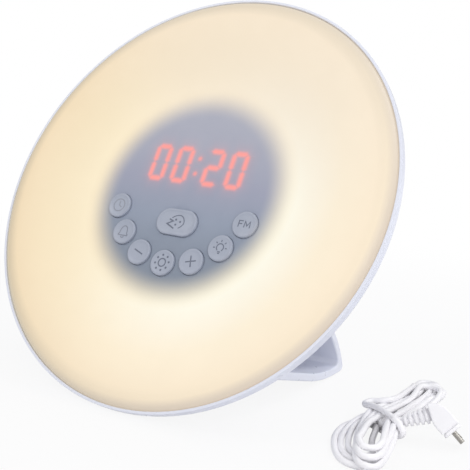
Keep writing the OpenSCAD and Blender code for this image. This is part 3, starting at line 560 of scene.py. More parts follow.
# each turn: its back fold (x, y, radius, z), then its points down the left, round the front
# fold and back up the right to where the next turn's back fold starts; a point with no z lies
# on the floor
TURNS = [
    ((83.4, 50.8, 3.5, 1.1), [
        (80.2, 40), (79.2, 26), (79.8, 3, 3.3), (77.8, -6.8, 2.6), (78.8, -12.5, 1.8),
        (80.4, -17.4, 1.3), (82.8, -22.2), (86.2, -25.8), (89.8, -25.8), (91.3, -22.4),
        (90, -18.4), (87.4, -14), (85.6, -8, 1.4), (84.8, 0, 3.3), (88.8, 22)]),
    ((87.6, 43.4, 4, 1.1), [
        (83.4, 34), (81.4, 22), (77.8, 2, 3.3), (76, -3.6, 2.2), (75.6, -9, 1.3), (76.4, -14.6),
        (78.6, -20.2), (81.6, -25), (85.2, -28.6), (89.2, -29.8), (92.8, -27.8), (93.8, -23.4),
        (92.4, -17.4), (90.8, -10, 1.4), (89.2, -3, 3.3), (90.9, 22)]),
    ((86, 37.2, 4.2, 3.3), [
        (82.3, 22, 3.3), (79.6, 3, 5.5), (80.9, -6.4, 4.6), (82.3, -13.9, 3.9), (84.9, -20.8, 3.5),
        (87.9, -28, 3.3), (90.7, -33, 3.3), (94.2, -35.7, 3.2), (97.3, -34, 3), (97.3, -28.8, 2.8),
        (95.9, -20.5, 2.8), (94.2, -11.9, 3.3), (91.6, -2, 4.2), (90.2, 22, 3.3)]),
    ((88.7, 40.4, 4.1, 3.4), [
        (85.2, 32, 3.8), (84.4, 22, 4.6), (82, 2, 5.5), (82.7, -8.5, 5.5), (84.3, -16.2, 5.5),
        (86.8, -23.7, 5.5), (88.7, -29, 5.5), (91.6, -32.6, 5.4), (95, -32.6, 5.2),
        (96.5, -28.6, 5.2), (95, -22, 5.4), (93.4, -15, 5.5), (91.4, -4, 5.7), (92.4, 22, 2.2)]),
    ((88.8, 36, 4.2, 5.2), [
        (86.4, 22, 5.3), (84.2, 2, 5.5), (83.6, -7.2, 5.8), (84.8, -14.4, 5.9), (86.3, -20.4, 6),
        (87.4, -25.4, 6), (90.2, -29, 5.9), (94, -28.2, 5.8), (95, -23.6, 5.8), (92.8, -16.6, 5.8),
        (90.9, -10, 5.8), (88.6, -2, 5.6), (88.6, 22, 4.4)]),
    ((84.4, 46.4, 3.5, 3), [(82, 36, 3.4), (82.4, 26.5, 5), (82.8, 19, 6.4), (81.6, 13.6, 7)])]
WRAP = [(78.8, 11.6, 6.4), (76, 11.2, 5), (74.6, 8.2, 4.6), (76, 5.2, 5.4), (79.2, 3.2, 6.8),
        (82.6, 1.2, 7.7), (86, -1, 7.9), (89.2, -3.2, 7.8), (92.4, -4.8, 7.1), (95, -5.4, 4.9),
        (94.9, -5.2, 2.4), (92, -4.3), (88, -3), (84.5, -1.2), (80.6, 0.8)]
OUTER_RUN = [(77.2, 1), (75, -1.6), (74.1, -6.8), (74.9, -14.2), (77.4, -21.4), (80.6, -27.4, 1.2),
             (84.5, -31.6, 1.4)]


def cord_plan():
    """The lead's given route: out of the plug, six turns, once round the waist, away."""
    points = LEAD + ENTER
    for (x, y, r, z), run in TURNS:
        fold = [(x + r * cos(a), y + r * sin(a), z) for a in np.linspace(0, pi, 6)]
        points = points + fold + run
    return np.array([(*p, CORD_D / 2)[:3] for p in points + WRAP + OUTER_RUN + TAIL], float)


def through(points, steps):
    """A smooth curve through the points, with steps parts between two of them."""
    p = np.vstack([points[:1], points, points[-1:]])
    t = np.linspace(0, 1, steps, endpoint=False)[:, None]
    parts = [0.5 * (2 * b + (c - a) * t + (2 * a - 5 * b + 4 * c - d) * t ** 2
                    + (3 * b - a - 3 * c + d) * t ** 3)
             for a, b, c, d in zip(p, p[1:], p[2:], p[3:])]
    return np.vstack(parts + [points[-1:]])


def evenly(points, step):
    lengths = np.r_[0, np.cumsum(np.linalg.norm(np.diff(points, axis=0), axis=1))]
    at = np.linspace(0, lengths[-1], int(round(lengths[-1] / step)) + 1)
    return np.stack([np.interp(at, lengths, points[:, k]) for k in range(3)], 1)


def cord_settle(points, rounds):
    """Lets the route sink, stiffen and push apart where it touches, held at its tied waist."""
    home, q = points.copy(), points.copy()
    count = len(q)
    apart = np.abs(np.subtract.outer(np.arange(count), np.arange(count)))
    far = apart > ceil(2.6 * CORD_D / CORD_STEP)
    held = np.clip(1 - np.abs(home[:, 1] - WAIST_Y) / 9, 0, 1)
    held[:6] = held[-8:] = 1
    free = np.ones(count)
    free[:3] = free[-3:] = 0
    for _ in range(rounds):
        q[:, :2] += (home[:, :2] - q[:, :2]) * PULL_HOME * free[:, None]
        q[:, 2] += (home[:, 2] - q[:, 2]) * (0.06 + 0.24 * held) * free
        q[:, 2] -= SINK * (1 - held) * free
        for s in (1, 2, 4):
            middle = (q[:-2 * s] + q[2 * s:]) / 2
            pull = STIFFNESS / s * np.array([0.2, 0.2, 1.0])
            q[s:-s] += (middle - q[s:-s]) * pull * free[s:-s, None]
        gap = q[:, None] - q[None]
        distance = np.linalg.norm(gap, axis=2)
        near = far & (distance < CORD_D)
        push = np.where(near, (CORD_D - distance) / np.maximum(distance, 1e-6) * 0.5, 0)
        touching = np.sqrt(np.maximum(near.sum(1), 1))
        q += (gap * push[..., None]).sum(1) / touching[:, None] * free[:, None]
        q[:, 2] = np.maximum(q[:, 2], CORD_D / 2)
    return q


def make_cord(plug_pieces):
    route = cord_settle(evenly(through(cord_plan(), 12), CORD_STEP), SETTLE_ROUNDS)
    line = evenly(through(route, 4), CORD_FINE_STEP)
    data = bpy.data.curves.new("supply_cord", "CURVE")
    data.dimensions = "3D"
    data.bevel_depth = CORD_D / 2 * MM
    data.bevel_resolution = 5
    spline = data.splines.new("POLY")
    spline.points.add(len(line) - 1)
    for point, (x, y, z) in zip(spline.points, line * MM):
        point.co = (x, y, z, 1)
    spline.use_smooth = True
    cord = add_object("supply_cord", data)
    dress(cord, "cord_white", nodes=("cord_hank", "cord_lead", "cord_tail"))


# ---- plugs on the lead
PLUG = (Matrix.Translation(Vector((102.9, 3.7, 9.9)) * MM)
        @ Matrix.Rotation(radians(17), 4, "Z") @ Matrix.Rotation(radians(68), 4, "X"))
RELIEF_RISE, NOSE_FALL = 24, 43
ELBOW_IN, ELBOW_T, ELBOW_W, NOSE_L = (-0.8, -3.8), 7, 9.6, 6
MICRO_SHELL = (4.4, 6.85, 1.8)
COLLAR_L = 1.4
RELIEF_L, RELIEF_R, RIBS = 9.2, (1.85, 3.2), 5
USB_AT, USB_RELIEF_L, USB_RELIEF_R = (100, -46, 4.2), 9, (1.9, 3.2)
USB_BODY, USB_SHELL = (20, 15.6, 7.8), (12, 12, 4.5)


def along_x(at, turn=0):
    """A frame whose +Z runs along +X turned by turn degrees in the plug's plane."""
    return (Matrix.Translation(Vector(at) * MM) @ Matrix.Rotation(radians(turn), 4, "Z")
            @ Matrix.Rotation(radians(90), 4, "Y"))


def make_relief(name, length, radii, at, node):
    """A tapered relief with rounded ribs, along the frame's +Z."""
    step = length / RIBS
    points = [(0, 0), (radii[0] - 0.5, 0)]
    for k in range(RIBS):
        r = radii[0] + (radii[1] - radii[0]) * k / RIBS
        z = k * step
        points += [(r - 0.15, z + 0.03), (r, z + 0.2), (r + 0.05, z + step * 0.5),
                   (r - 0.12, z + step * 0.6), (r - 0.75, z + step * 0.66),
                   (r - 0.8, z + step * 0.84), (r - 0.6, z + step * 0.97)]
    points += [(radii[1] - 0.7, length), (0, length)]
    return piece(name, *revolve(points, 48), "cord_white", at=at, nodes=(node,), sharp=50)


def tube_box(size, wall, length, r):
    """A drawn metal sleeve of rounded section, open at its far end, along +Z."""
    outer, inner = rounded(size, r), rounded((size[0] - 2 * wall, size[1] - 2 * wall), r * 0.7)
    levels = [(outer, 0), (outer, length - 0.15), (shrunk(outer, (0, 0), size, 0.1), length),
              (shrunk(inner, (0, 0), size, -0.02), length), (inner, length - 0.15), (inner, 0.7)]
    return loft([[(x, y, z) for x, y in line] for line, z in levels])


def make_micro_plug():
    """The right-angled plug: its relief, its body with the nose's collar, its metal nose."""
    start = ELBOW_IN + polar(ELBOW_T / 2, 90 + RELIEF_RISE) - polar(RELIEF_L, RELIEF_RISE)
    relief = make_relief("micro_relief", RELIEF_L, RELIEF_R,
                         PLUG @ along_x((*start, 0), RELIEF_RISE), "strain_relief")

    nose = polar(1, -NOSE_FALL)
    middle = ELBOW_IN + polar(ELBOW_T / 2, 90 - NOSE_FALL)
    outer = arc(ELBOW_IN, ELBOW_T, 90 + RELIEF_RISE, 90 - NOSE_FALL, 14)
    reach = NOSE_L - COLLAR_L
    outline = [ELBOW_IN] + outer + [tuple(end + nose * reach) for end in (outer[-1], ELBOW_IN)]
    body = solid("micro_plug", *slab(outline, -ELBOW_W / 2, ELBOW_W / 2), at=PLUG)
    soften(body, 1.9, 6, 35)
    levels = [(0.5, 0), (0.5, 1.15), (0, 1.3), (0, 0.85 + COLLAR_L), (0.3, 1 + COLLAR_L)]
    combine(body, "UNION", stacked((ELBOW_W - 0.3, ELBOW_T - 0.3), 1.6, levels, n=8),
            at=PLUG @ along_x((*(middle + nose * (reach - 1)), 0), -NOSE_FALL))
    dress_solid(body, 40, "cord_white", nodes=("micro_plug_body",))

    mouth = PLUG @ along_x((*(middle + nose * NOSE_L), 0), -NOSE_FALL)
    hooks = [slab(rounded((0.7, 0.3), 0.1, (side * 1.55, MICRO_SHELL[2] / 2)), 1.5, 3.1)
             for side in (-1, 1)]
    sleeve = piece("micro_sleeve", *merge(tube_box(MICRO_SHELL[1:], 0.28, MICRO_SHELL[0], 0.5),
                                          *hooks), "steel", at=mouth, nodes=("micro_plug_shell",))
    tongue = piece("micro_tongue", *slab(rounded((5.2, 0.55), 0.2), 0.3, 3.6), "dark_parts",
                   at=mouth)
    return [relief, body, sleeve, tongue]


def make_usb_plug():
    """The straight plug at the far end: relief, body, and a metal sleeve with six windows."""
    x, y, z = USB_AT
    relief = make_relief("usb_relief", USB_RELIEF_L, USB_RELIEF_R, along_x(USB_AT),
                         "usb_a_relief")
    length, width, height = USB_BODY
    levels = [(1.2, 0), (0.35, 0.35), (0, 1.2), (0, length - 0.6), (0.2, length - 0.15),
              (0.6, length)]
    body = piece("usb_plug", *stacked((height, width), 2.2, levels), "cord_white",
                 at=along_x((x + USB_RELIEF_L, y, z)), nodes=("usb_a_body",))
    end = along_x((x + USB_RELIEF_L + length, y, z))
    sleeve = solid("usb_sleeve", *tube_box((USB_SHELL[2], USB_SHELL[1]), 0.35, USB_SHELL[0], 0.45),
                   at=end)
    windows = [slab(rounded((2, 2.4), 0.2, (0, side * 2.9)), 4.4, 6.8) for side in (-1, 1)]
    windows += [slab(rounded((1, 2.3), 0.1, (x, side * 2.9)), 4.6, 6.9)
                for side in (-1, 1) for x in (-2.1, 2.1)]
    combine(sleeve, "DIFFERENCE", *windows, at=end)
    dress_solid(sleeve, 32, "steel", nodes=("usb_a_shell",))
    tongue = piece("usb_tongue", *slab(rounded((1.7, 10.6), 0.2, (0.95, 0)), 0.4, 11.2),
                   "white_inner", at=end)
    return [relief, body, sleeve, tongue]


# ---- diffuser with its digits
PANEL_HOLE_SOFT = 0.15
GLOW_X, GLOW_Y, GLOW_STEP = (-24.4, 24.5), (2.2, 21.7), 0.36
CORE_EDGE, CORE_BLUR, HALO, HALO_REACH, HALO_END = 1.2, 1.9, 0.26, 1.3, 5


def panel_holes():
    """Outlines of the holes for the buttons, as functions of how far they are opened."""
    holes = [lambda grow, at=button_at(i): ring(BUTTON_D / 2 + BUTTON_GAP + grow, at, 72)
             for i in range(7)]
    return holes + [lambda grow: stadium(SNOOZE_L + 2 * (BUTTON_GAP + grow),
                                         SNOOZE_W + 2 * (BUTTON_GAP + grow), SNOOZE_AT, 30)]


def inside(points, outline):
    """Which points lie inside a closed outline."""
    result = np.zeros(len(points), bool)
    x, y = points[:, 0], points[:, 1]
    for (x0, y0), (x1, y1) in zip(outline, outline[1:] + outline[:1]):
        if abs(y1 - y0) < 1e-12:
            continue
        crosses = (y0 > y) != (y1 > y)
        result ^= crosses & (x < (x1 - x0) * (y - y0) / (y1 - y0) + x0)
    return result


def sheet_with_holes(rim, holes, extra=()):
    """Triangles of a flat sheet inside rim, open at the holes, through the extra points."""
    points = list(rim)
    edges = [(i, (i + 1) % len(rim)) for i in range(len(rim))]
    for hole in holes:
        start = len(points)
        points += hole
        edges += [(start + i, start + (i + 1) % len(hole)) for i in range(len(hole))]
    points += list(extra)
    verts, _, faces, _, _, _ = delaunay_2d_cdt([Vector(p) for p in points], edges, [], 0, 1e-5)
    verts = np.array([tuple(v) for v in verts])
    faces = np.array([list(f) for f in faces])
    middles = verts[faces].mean(1)
    keep = np.ones(len(faces), bool)
    for hole in holes:
        keep &= ~inside(middles, hole)
    return verts, faces[keep]


def segment_shapes():
    """The lit segments of 00:20, each as its outline about the face's centre."""
    w, wide, high = SEGMENT_W / 2, (DIGIT_W - SEGMENT_W) / 2, (DIGIT_H - SEGMENT_W) / 4

    def bar(x, y):
        """A segment at x half widths and y quarter heights, upright where x isn't 0."""
        half = (high if x else wide) - SEGMENT_GAP / 2
        shape = [(-half, 0), (w - half, -w), (half - w, -w), (half, 0), (half - w, w),
                 (w - half, w)]
        if x:
            shape = [(-b, a) for a, b in shape]
        return np.array(shape) + (x * wide, y * high)

    bars = {"a": (0, 2), "b": (1, 1), "c": (1, -1), "d": (0, -2), "e": (-1, -1), "f": (-1, 1),
            "g": (0, 0)}
    lit = ("abcdef", "abcdef", "abged", "abcdef")
    return [bar(*bars[s]) + (x, DIGITS_UP) for x, shown in zip(DIGIT_X, lit) for s in shown]


def digit_glow(points):
    """How bright the digits shine at each point of the face, from 0 to 1."""
    nearest = np.full(len(points), 99.0)
    for shape in segment_shapes():
        after = np.roll(shape, -1, axis=0)
        normal = np.stack([(after - shape)[:, 1], -(after - shape)[:, 0]], 1)
        normal /= np.linalg.norm(normal, axis=1)[:, None]
        away = ((points[:, None] - shape[None]) * normal[None]).sum(2).max(1)
        nearest = np.minimum(nearest, away)
    for side in (-1, 1):
        away = np.linalg.norm(points - (0, DIGITS_UP + side * DOT_UP), axis=1) - DOT_D / 2
        nearest = np.minimum(nearest, away + 0.35)
    core = np.clip((CORE_EDGE - nearest) / CORE_BLUR, 0, 1)
    halo = HALO * np.exp(-np.maximum(nearest, 0) / HALO_REACH)
    return np.maximum(core * core * (3 - 2 * core), halo * (nearest < HALO_END))


def make_diffuser():
    n = 256
    # outer face, edge and inner face, from the panel's rim out and back
    line = [(r, diffuser_h(r)) for r in np.linspace(PANEL_R, CROWN_R, 64)]
    line += arc((CROWN_R, EDGE_H), (EDGE_R - CROWN_R, CROWN_H - EDGE_H), 90, 0, 18)[1:]
    line += [(EDGE_R, LEDGE_H + 0.15), (EDGE_R - 0.15, LEDGE_H), (EDGE_R - 2, LEDGE_H)]
    line += arc((CROWN_R, EDGE_H), (EDGE_R - CROWN_R - 2, CROWN_H - EDGE_H - DIFFUSER_WALL),
                0, 90, 12)
    line += [(r, diffuser_h(r) - DIFFUSER_WALL) for r in np.linspace(CROWN_R, PANEL_R, 40)[1:]]
    rim, holes = ring(PANEL_R, n=n), panel_holes()
    # the panel's points: fine where the digits shine, coarse elsewhere, a row round each hole
    grid = [(x, y) for x in np.arange(*GLOW_X, GLOW_STEP) for y in np.arange(*GLOW_Y, GLOW_STEP)]
    clear = np.array([(x, y) for x in np.arange(-36, 37, 3) for y in np.arange(-36, 37, 3)
                      if hypot(x, y) < PANEL_R - 1.5 and not (abs(x) < 25.5 and 1 < y < 23)])
    for hole in holes:
        clear = clear[~inside(clear, hole(PANEL_HOLE_SOFT + 0.9))]
    guard = [p for hole in holes for p in hole(PANEL_HOLE_SOFT + 0.25)]
    front, front_faces = sheet_with_holes(rim, [h(PANEL_HOLE_SOFT) for h in holes],
                                          guard + grid + [tuple(p) for p in clear])
    rear, rear_faces = sheet_with_holes(rim, [h(0) for h in holes])
    panel_back = PANEL_H - DIFFUSER_WALL
    parts = [revolve(line, n), ([(x, y, PANEL_H) for x, y in front], front_faces.tolist()),
             ([(x, y, panel_back) for x, y in rear], rear_faces[:, ::-1].tolist())]
    levels = rounding(PANEL_HOLE_SOFT, PANEL_H, 5) + [(0, panel_back)]
    for hole in holes:
        parts.append(loft([[(x, y, h) for x, y in hole(grow)] for grow, h in levels], False))
    diffuser = piece("diffuser_front", *merge(*parts), "diffuser", at=HEAD, nodes=("diffuser",))
    co = np.zeros(len(diffuser.data.vertices) * 3)
    diffuser.data.vertices.foreach_get("co", co)
    back = np.array(HEAD.inverted())
    local = (co.reshape(-1, 3) @ back[:3, :3].T + back[:3, 3]) / MM
    glow = np.where(local[:, 2] > PANEL_H - 0.1, digit_glow(local[:, :2]), 0)
    attribute = diffuser.data.attributes.new("glow", "FLOAT", "POINT")
    attribute.data.foreach_set("value", glow.astype(np.float32))


# ---- buttons with their marks
BUTTONS = ("time", "alarm", "minus", "brightness", "plus", "light", "radio")
DISH, EDGE_SOFT = 0.12, 0.4


def button_levels(reach):
    """(inset from the cap's side, height) down a button, from its dished top."""
    top = [(reach - 0.01, BUTTON_TOP - DISH), (1.7, BUTTON_TOP - DISH),
           (1.25, BUTTON_TOP - DISH * 0.75), (0.9, BUTTON_TOP - DISH * 0.25),
           (0.65, BUTTON_TOP)]
    return top + rounding(EDGE_SOFT, BUTTON_TOP, 6) + [
        (0, FLANGE_TOP), (-FLANGE_W, FLANGE_TOP), (-FLANGE_W, FLANGE_TOP - FLANGE_T)]


def make_buttons():
    for i, name in enumerate(BUTTONS):
        half = BUTTON_D / 2
        line = [(0, BUTTON_TOP - DISH)] + [(half - d, h) for d, h in button_levels(half)[1:]]
        line += [(STEM_D / 2, FLANGE_TOP - FLANGE_T), (STEM_D / 2, STEM_LOW), (0, STEM_LOW)]
        piece(name + "_cap", *revolve(line, 96, centre=button_at(i)), "button_grey",
              body=name + "_key", at=HEAD, nodes=(name + "_button",))
        make_mark(name, button_at(i))
    loops = [[(x, y, h) for x, y in stadium(SNOOZE_L - 2 * d, SNOOZE_W - 2 * d, SNOOZE_AT, 32)]
             for d, h in button_levels(SNOOZE_W / 2)[1:]]
    stem = revolve([(0, FLANGE_TOP - 0.5), (STEM_D / 2, FLANGE_TOP - 0.5), (STEM_D / 2, STEM_LOW),
                    (0, STEM_LOW)], 48, centre=SNOOZE_AT)
    piece("snooze_cap", *merge(loft(loops), stem), "button_grey", body="snooze_key", at=HEAD,
          nodes=("snooze_button",))
    make_mark("snooze", SNOOZE_AT)


def ribbon(points, width, closed=False):
    """A flat band of even width along a line, as two rows of points."""
    p = np.array(points, float)
    ahead = np.roll(p, -1, 0) - p
    behind = p - np.roll(p, 1, 0)
    if not closed:
        ahead[-1], behind[0] = behind[-1], ahead[0]
    ahead /= np.linalg.norm(ahead, axis=1)[:, None]
    behind /= np.linalg.norm(behind, axis=1)[:, None]
    side = ahead + behind
    side = np.stack([-side[:, 1], side[:, 0]], 1)
    side /= np.maximum(np.linalg.norm(side, axis=1), 1e-6)[:, None]
    lean = (side * np.stack([-ahead[:, 1], ahead[:, 0]], 1)).sum(1)
    side *= (width / 2 / np.clip(lean, 0.45, 1))[:, None]
    return p + side, p - side


def curve2(points, steps=6):
    flat = np.c_[np.array(points, float), np.zeros(len(points))]
    return [tuple(q) for q in through(flat, steps)[:, :2]]


THIN = 0.42
MARK_TURN = {"minus": -20, "plus": 15}
MARK_RISE, MARK_SINK = 0.03, 0.02


def dots(centres):
    return [(ring(0.22, c, 12), 0.44, True) for c in centres]


def strokes(*lines, width=THIN):
    return [(points, width, False) for points in lines]


def mark_strokes(name):
    """(points, width, closed) of each stroke of a button's mark, about the button's centre."""
    if name == "time":
        return [(ring(2.55), THIN, True)] + strokes([(0, 1.75), (0, 0), (1.25, -0.75)])
    if name == "alarm":
        bell = curve2([(-2.3, -1.45), (-1.75, -0.75), (-1.55, 0.55), (-1, 1.75), (0, 2.25),
                       (1, 1.75), (1.55, 0.55), (1.75, -0.75), (2.3, -1.45)])
        return strokes(bell, [(-2.3, -1.66), (2.3, -1.66)], arc((0, -1.95), 0.7, 190, 350, 8))
    if name == "minus":
        return strokes([(-2.25, 0), (2.25, 0)], width=0.55)
    if name == "brightness":
        return [(ring(1.55), 0.5, True)] + dots(ring(3, n=8, start=10))
    if name == "plus":
        return strokes([(-2.25, 0), (2.25, 0)], [(0, 0.26), (0, 2.25)], [(0, -0.26), (0, -2.25)],
                       width=0.52)
    if name == "light":
        foot = [[(-x, y), (x, y)] for x, y in ((0.62, -1.5), (0.42, -2.1))]
        rays = [[tuple(polar(r, a) + (0, 0.2)) for r in (2.15, 2.95)]
                for a in (-2, 46, 92, 138, 186)]
        return strokes(arc((0, 0.2), 1.45, -55, 235, 30), *foot, *rays)
    if name == "radio":
        return strokes([(-2.45, -1.25), (-2.45, 1.25), (-0.75, 1.25)], [(-2.24, 0.1), (-1, 0.1)],
                       [(-0.05, -1.25), (0.1, 1.2), (1.15, -0.5), (2.2, 1.2), (2.35, -1.25)])
    zigzag = [(-3.3, 0.85), (-1.5, 0.2), (-3.9, -1.15), (-0.3, -2.7)]
    moon = curve2([(-2.35, 1.4), (-1.5, 2.1), (-0.3, 2.6), (1.4, 2.75), (2.8, 1.8), (3.5, 0),
                   (2.8, -1.4), (1.6, -2.4)])
    return (strokes(zigzag, width=0.58) + strokes(moon, width=0.4)
            + dots(((-0.4, 0.9), (1.7, 0.25), (0, -1.1))))


def make_mark(name, centre):
    """The button's printed mark: bands of ink just above its dished top."""
    c, s = polar(1, MARK_TURN.get(name, 0))
    low, high = BUTTON_TOP - DISH - MARK_SINK, BUTTON_TOP - DISH + MARK_RISE
    parts = []
    for points, width, closed in mark_strokes(name):
        left, right = ([(centre[0] + c * x - s * y, centre[1] + s * x + c * y) for x, y in side]
                       for side in ribbon(points, width, closed))
        sections = [[(*a, low), (*b, low), (*b, high), (*a, high)] for a, b in zip(left, right)]
        if closed:
            sections.append(sections[0])
        parts.append(loft(sections, capped=not closed))
    piece(name + "_mark", *merge(*parts), "button_grey", body=name + "_key", at=HEAD,
          finish="mark_ink", sharp=20)


# ---- back shell and cover
def dome_profile(gap=0.0):
    """Outside of the rim and the dome, from the rim's plane to the middle of the hub."""
    side = arc((DOME_R, SIDE_LOW), RIM_ROUND + gap, 0, -90, 20)
    return side + [(r, dome_h(r) - gap) for r in np.linspace(DOME_R, HUB_R, 72)[1:]]


def make_shell():
    n = 224
    lip = [(LIP_R, LEDGE_H), (LIP_R, -LIP_DROP - 0.2), (LIP_R + 0.2, -LIP_DROP),
           (HEAD_R - 0.35, -LIP_DROP), (HEAD_R - 0.1, -LIP_DROP - 0.1), (HEAD_R, -LIP_DROP - 0.35)]
    inner = [(r, dome_h(r) + SHELL_WALL) for r in np.linspace(HUB_R, LEDGE_IN, 40)]
    line = lip + dome_profile() + [(0, HUB_H), (0, FLOOR_H)] + inner + [(LEDGE_IN, LEDGE_H)]
    shell = solid("back_case", *revolve(line, n, closed=True), at=HEAD)
    screws = [polar(CASE_SCREW_R, a) for a in CASE_SCREW_ANGLES]

    # the screws' pads, the bay's walls and the speaker's ring, trimmed to the dome's outside
    pads = [revolve([(0, HUB_H), (CASE_BOSS_R, HUB_H), (CASE_BOSS_R, CASE_BOSS_LOW),
                     (0, CASE_BOSS_LOW)], 40, centre=at) for at in screws]
    walls = rounded((BAY_IN[0] + 2 * BAY_WALL, BAY_IN[1] + 2 * BAY_WALL), 1.5, BAY_AT)
    pads.append(slab(walls, HUB_H, BAY_ROOF + BAY_WALL))
    seat = SPEAKER_D / 2 + 0.3
    pads.append(revolve([(seat, HUB_H), (seat + 1.2, HUB_H), (seat + 1.2, FLOOR_H + 3),
                         (seat, FLOOR_H + 3)], 64, closed=True, centre=SPEAKER_AT))
    pads = solid("pads", *merge(*pads), at=HEAD)
    whole = [(0, 0), (HEAD_R - 0.1, 0)] + dome_profile(-0.1) + [(0, HUB_H + 0.1)]
    combine(pads, "INTERSECT", revolve(whole, n))
    combine(shell, "UNION", pads)

    holes = [slab(rounded(INLET_SLOT, 1, INLET_AT), HUB_H - 1, FLOOR_H + 1)]
    for i in range(-3, 4):
        half = sqrt((SPEAKER_D / 2 - 2.5) ** 2 - (i * SLOT_PITCH) ** 2)
        at = (SPEAKER_AT[0], SPEAKER_AT[1] + i * SLOT_PITCH)
        holes.append(slab(stadium(2 * half, SLOT_W, at, 10), HUB_H - 1, FLOOR_H + 1))
    for at in screws:
        holes.append(revolve([(0, HUB_H - 1), (CASE_HEAD_R, HUB_H - 1), (CASE_HEAD_R, CASE_SEAT),
                              (CASE_SHANK_R, CASE_SEAT), (CASE_SHANK_R, CASE_BOSS_LOW + 1),
                              (0, CASE_BOSS_LOW + 1)], 40, centre=at))
    opening = rounded((COVER[0] + 2 * COVER_GAP, COVER[1] + 2 * COVER_GAP), 2.3, BAY_AT)
    combine(shell, "DIFFERENCE", slab(rounded(BAY_IN, 1, BAY_AT), HUB_H - 1, BAY_ROOF),
            slab(opening, HUB_H - 1.5, HUB_H + COVER_RECESS), merge(*holes))
    dress_solid(shell, 30, "white_shell", nodes=("back_shell",))


def make_cover():
    levels = [(0.35, HUB_H), (0.1, HUB_H + 0.12), (0, HUB_H + 0.4), (0, HUB_H + COVER_T)]
    cover = solid("bay_cover", *stacked(COVER, 2, levels, BAY_AT), at=HEAD)
    verts, faces = slab(stadium(14, 0.8, (0, 0), 6), HUB_H - 1, HUB_H + 0.5)
    for k in range(4):
        x0 = BAY_AT[0] + COVER[0] / 2 - 5 - 1.6 * k
        groove = [(x0 - y, BAY_AT[1] + x, h) for x, y, h in verts]
        combine(cover, "DIFFERENCE", (groove, faces))
    dress_solid(cover, 30, "white_shell", body="cover", nodes=("battery_cover",))


# ---- stand and foot
STAND_W, STAND_BACK, STAND_LOW, BAND_T = 95, 52.3, 0.6, 3.2
CORNER_R, FLAT_L, BASE_BEND_R, BASE_RISE = 2.2, 4.8, 76, 17
WALL_LEAN, WALL_BEND_R, FILLET = (22, 41), 56, 1.8
PAD_SIZE, PAD_T = (76, 6.4), 1.2


def stand_outline():
    """The bent band seen from the side, as points (y, z)."""
    corner = np.array((HEAD_Y + STAND_BACK - CORNER_R, STAND_LOW + CORNER_R))
    wall = corner + polar(CORNER_R - WALL_BEND_R, WALL_LEAN[0])
    base = np.array((corner[0] - FLAT_L, STAND_LOW + BASE_BEND_R))
    wall_dir, base_dir = polar(1, 90 + WALL_LEAN[1]), polar(1, 180 - BASE_RISE)
    fillet_z = STAND_LOW + BAND_T + FILLET
    reach = WALL_BEND_R - BAND_T - FILLET
    fillet = np.array((wall[0] + sqrt(reach ** 2 - (fillet_z - wall[1]) ** 2), fillet_z))
    fillet_a = degrees(atan2(fillet[1] - wall[1], fillet[0] - wall[0]))

    def along(t, h):
        c, s = cos(radians(LEAN)), sin(radians(LEAN))
        p, d = t
        height = -(p[0] - HEAD_Y) * c + (p[1] - HEAD_Z) * s
        return tuple(p + d * (h - height) / (-d[0] * c + d[1] * s))

    on_wall = lambda t: (wall + polar(WALL_BEND_R - t, WALL_LEAN[1]), wall_dir)
    on_base = lambda t: (base + polar(BASE_BEND_R - t, -90 - BASE_RISE), base_dir)
    return ([along(on_base(0), -5)]
            + arc(base, BASE_BEND_R, -90 - BASE_RISE, -90, 10)
            + arc(corner, CORNER_R, -90, WALL_LEAN[0], 14)
            + arc(wall, WALL_BEND_R, WALL_LEAN[0] + 1, WALL_LEAN[1], 10)
            + [along(on_wall(0), HUB_H + 9), along(on_wall(BAND_T), HUB_H + 9)]
            + arc(wall, WALL_BEND_R - BAND_T, WALL_LEAN[1], fillet_a + 1, 6)
            + arc(fillet, FILLET, fillet_a, -90, 10)
            + arc(base, BASE_BEND_R - BAND_T, -90, -90 - BASE_RISE, 10)
            + [along(on_base(BAND_T), -5)])


def make_stand():
    half = STAND_W / 2
    outline = stand_outline()
    stand = solid("stand_band", *loft([[(x, y, z) for y, z in outline]
                                       for x in np.linspace(-half, half, 13)]))
    soften(stand, 0.7, 4, 60)
    bosses = [revolve([(0, low), (d / 2 - 0.4, low), (d / 2, low + 0.4), (d / 2, high), (0, high)],
                      48, centre=(side * x, y))
              for side in (-1, 1)
              for (x, y), d, low, high in (
                  (HUB_BOSS, HUB_BOSS_D, HUB_H - HUB_BOSS_L, HUB_H + 2),
                  (BASE_BOSS, BASE_BOSS_D, HUB_H + 2, HUB_H + 2 + BASE_BOSS_L))]
    combine(stand, "UNION", merge(*bosses))
    room = [(0, 0), (HEAD_R + 0.15, 0)] + dome_profile(0.15) + [(0, HUB_H - 0.15)]
    combine(stand, "DIFFERENCE", revolve(room, 224))
    pad_at = (0, HEAD_Y + STAND_BACK - CORNER_R - PAD_SIZE[1] / 2 + 0.2)
    pocket = rounded((PAD_SIZE[0] + 0.1, PAD_SIZE[1] + 0.1), 1.2, pad_at)
    combine(stand, "DIFFERENCE", slab(pocket, -1, PAD_T), at=WORLD)
    dress_solid(stand, 35, "white_shell", nodes=("stand",))
    levels = [(0.35, 0), (0.1, 0.1), (0, 0.35), (0, PAD_T)]
    piece("rubber_foot", *stacked(PAD_SIZE, 1.2, levels, pad_at), "foot", nodes=("foot_pad",))


# ---- pieces kept from the CAD
def dress_cad_nodes():
    slots = {p["node"]: p["material_slot"] for p in frame["record"]["subparts"]}
    for name, node in frame["nodes"].items():
        node.data.materials.clear()
        node.data.materials.append(finish_of(slots[name]))


# ---- floor, world and lamps
FLOOR_HALF, FLOOR_SINK = 3.0, 0.00005
FLOOR_NEAR, FLOOR_FAR, FLOOR_SHARE = 0.12, 0.36, 0.89
WORLD_LEVEL = 0.6


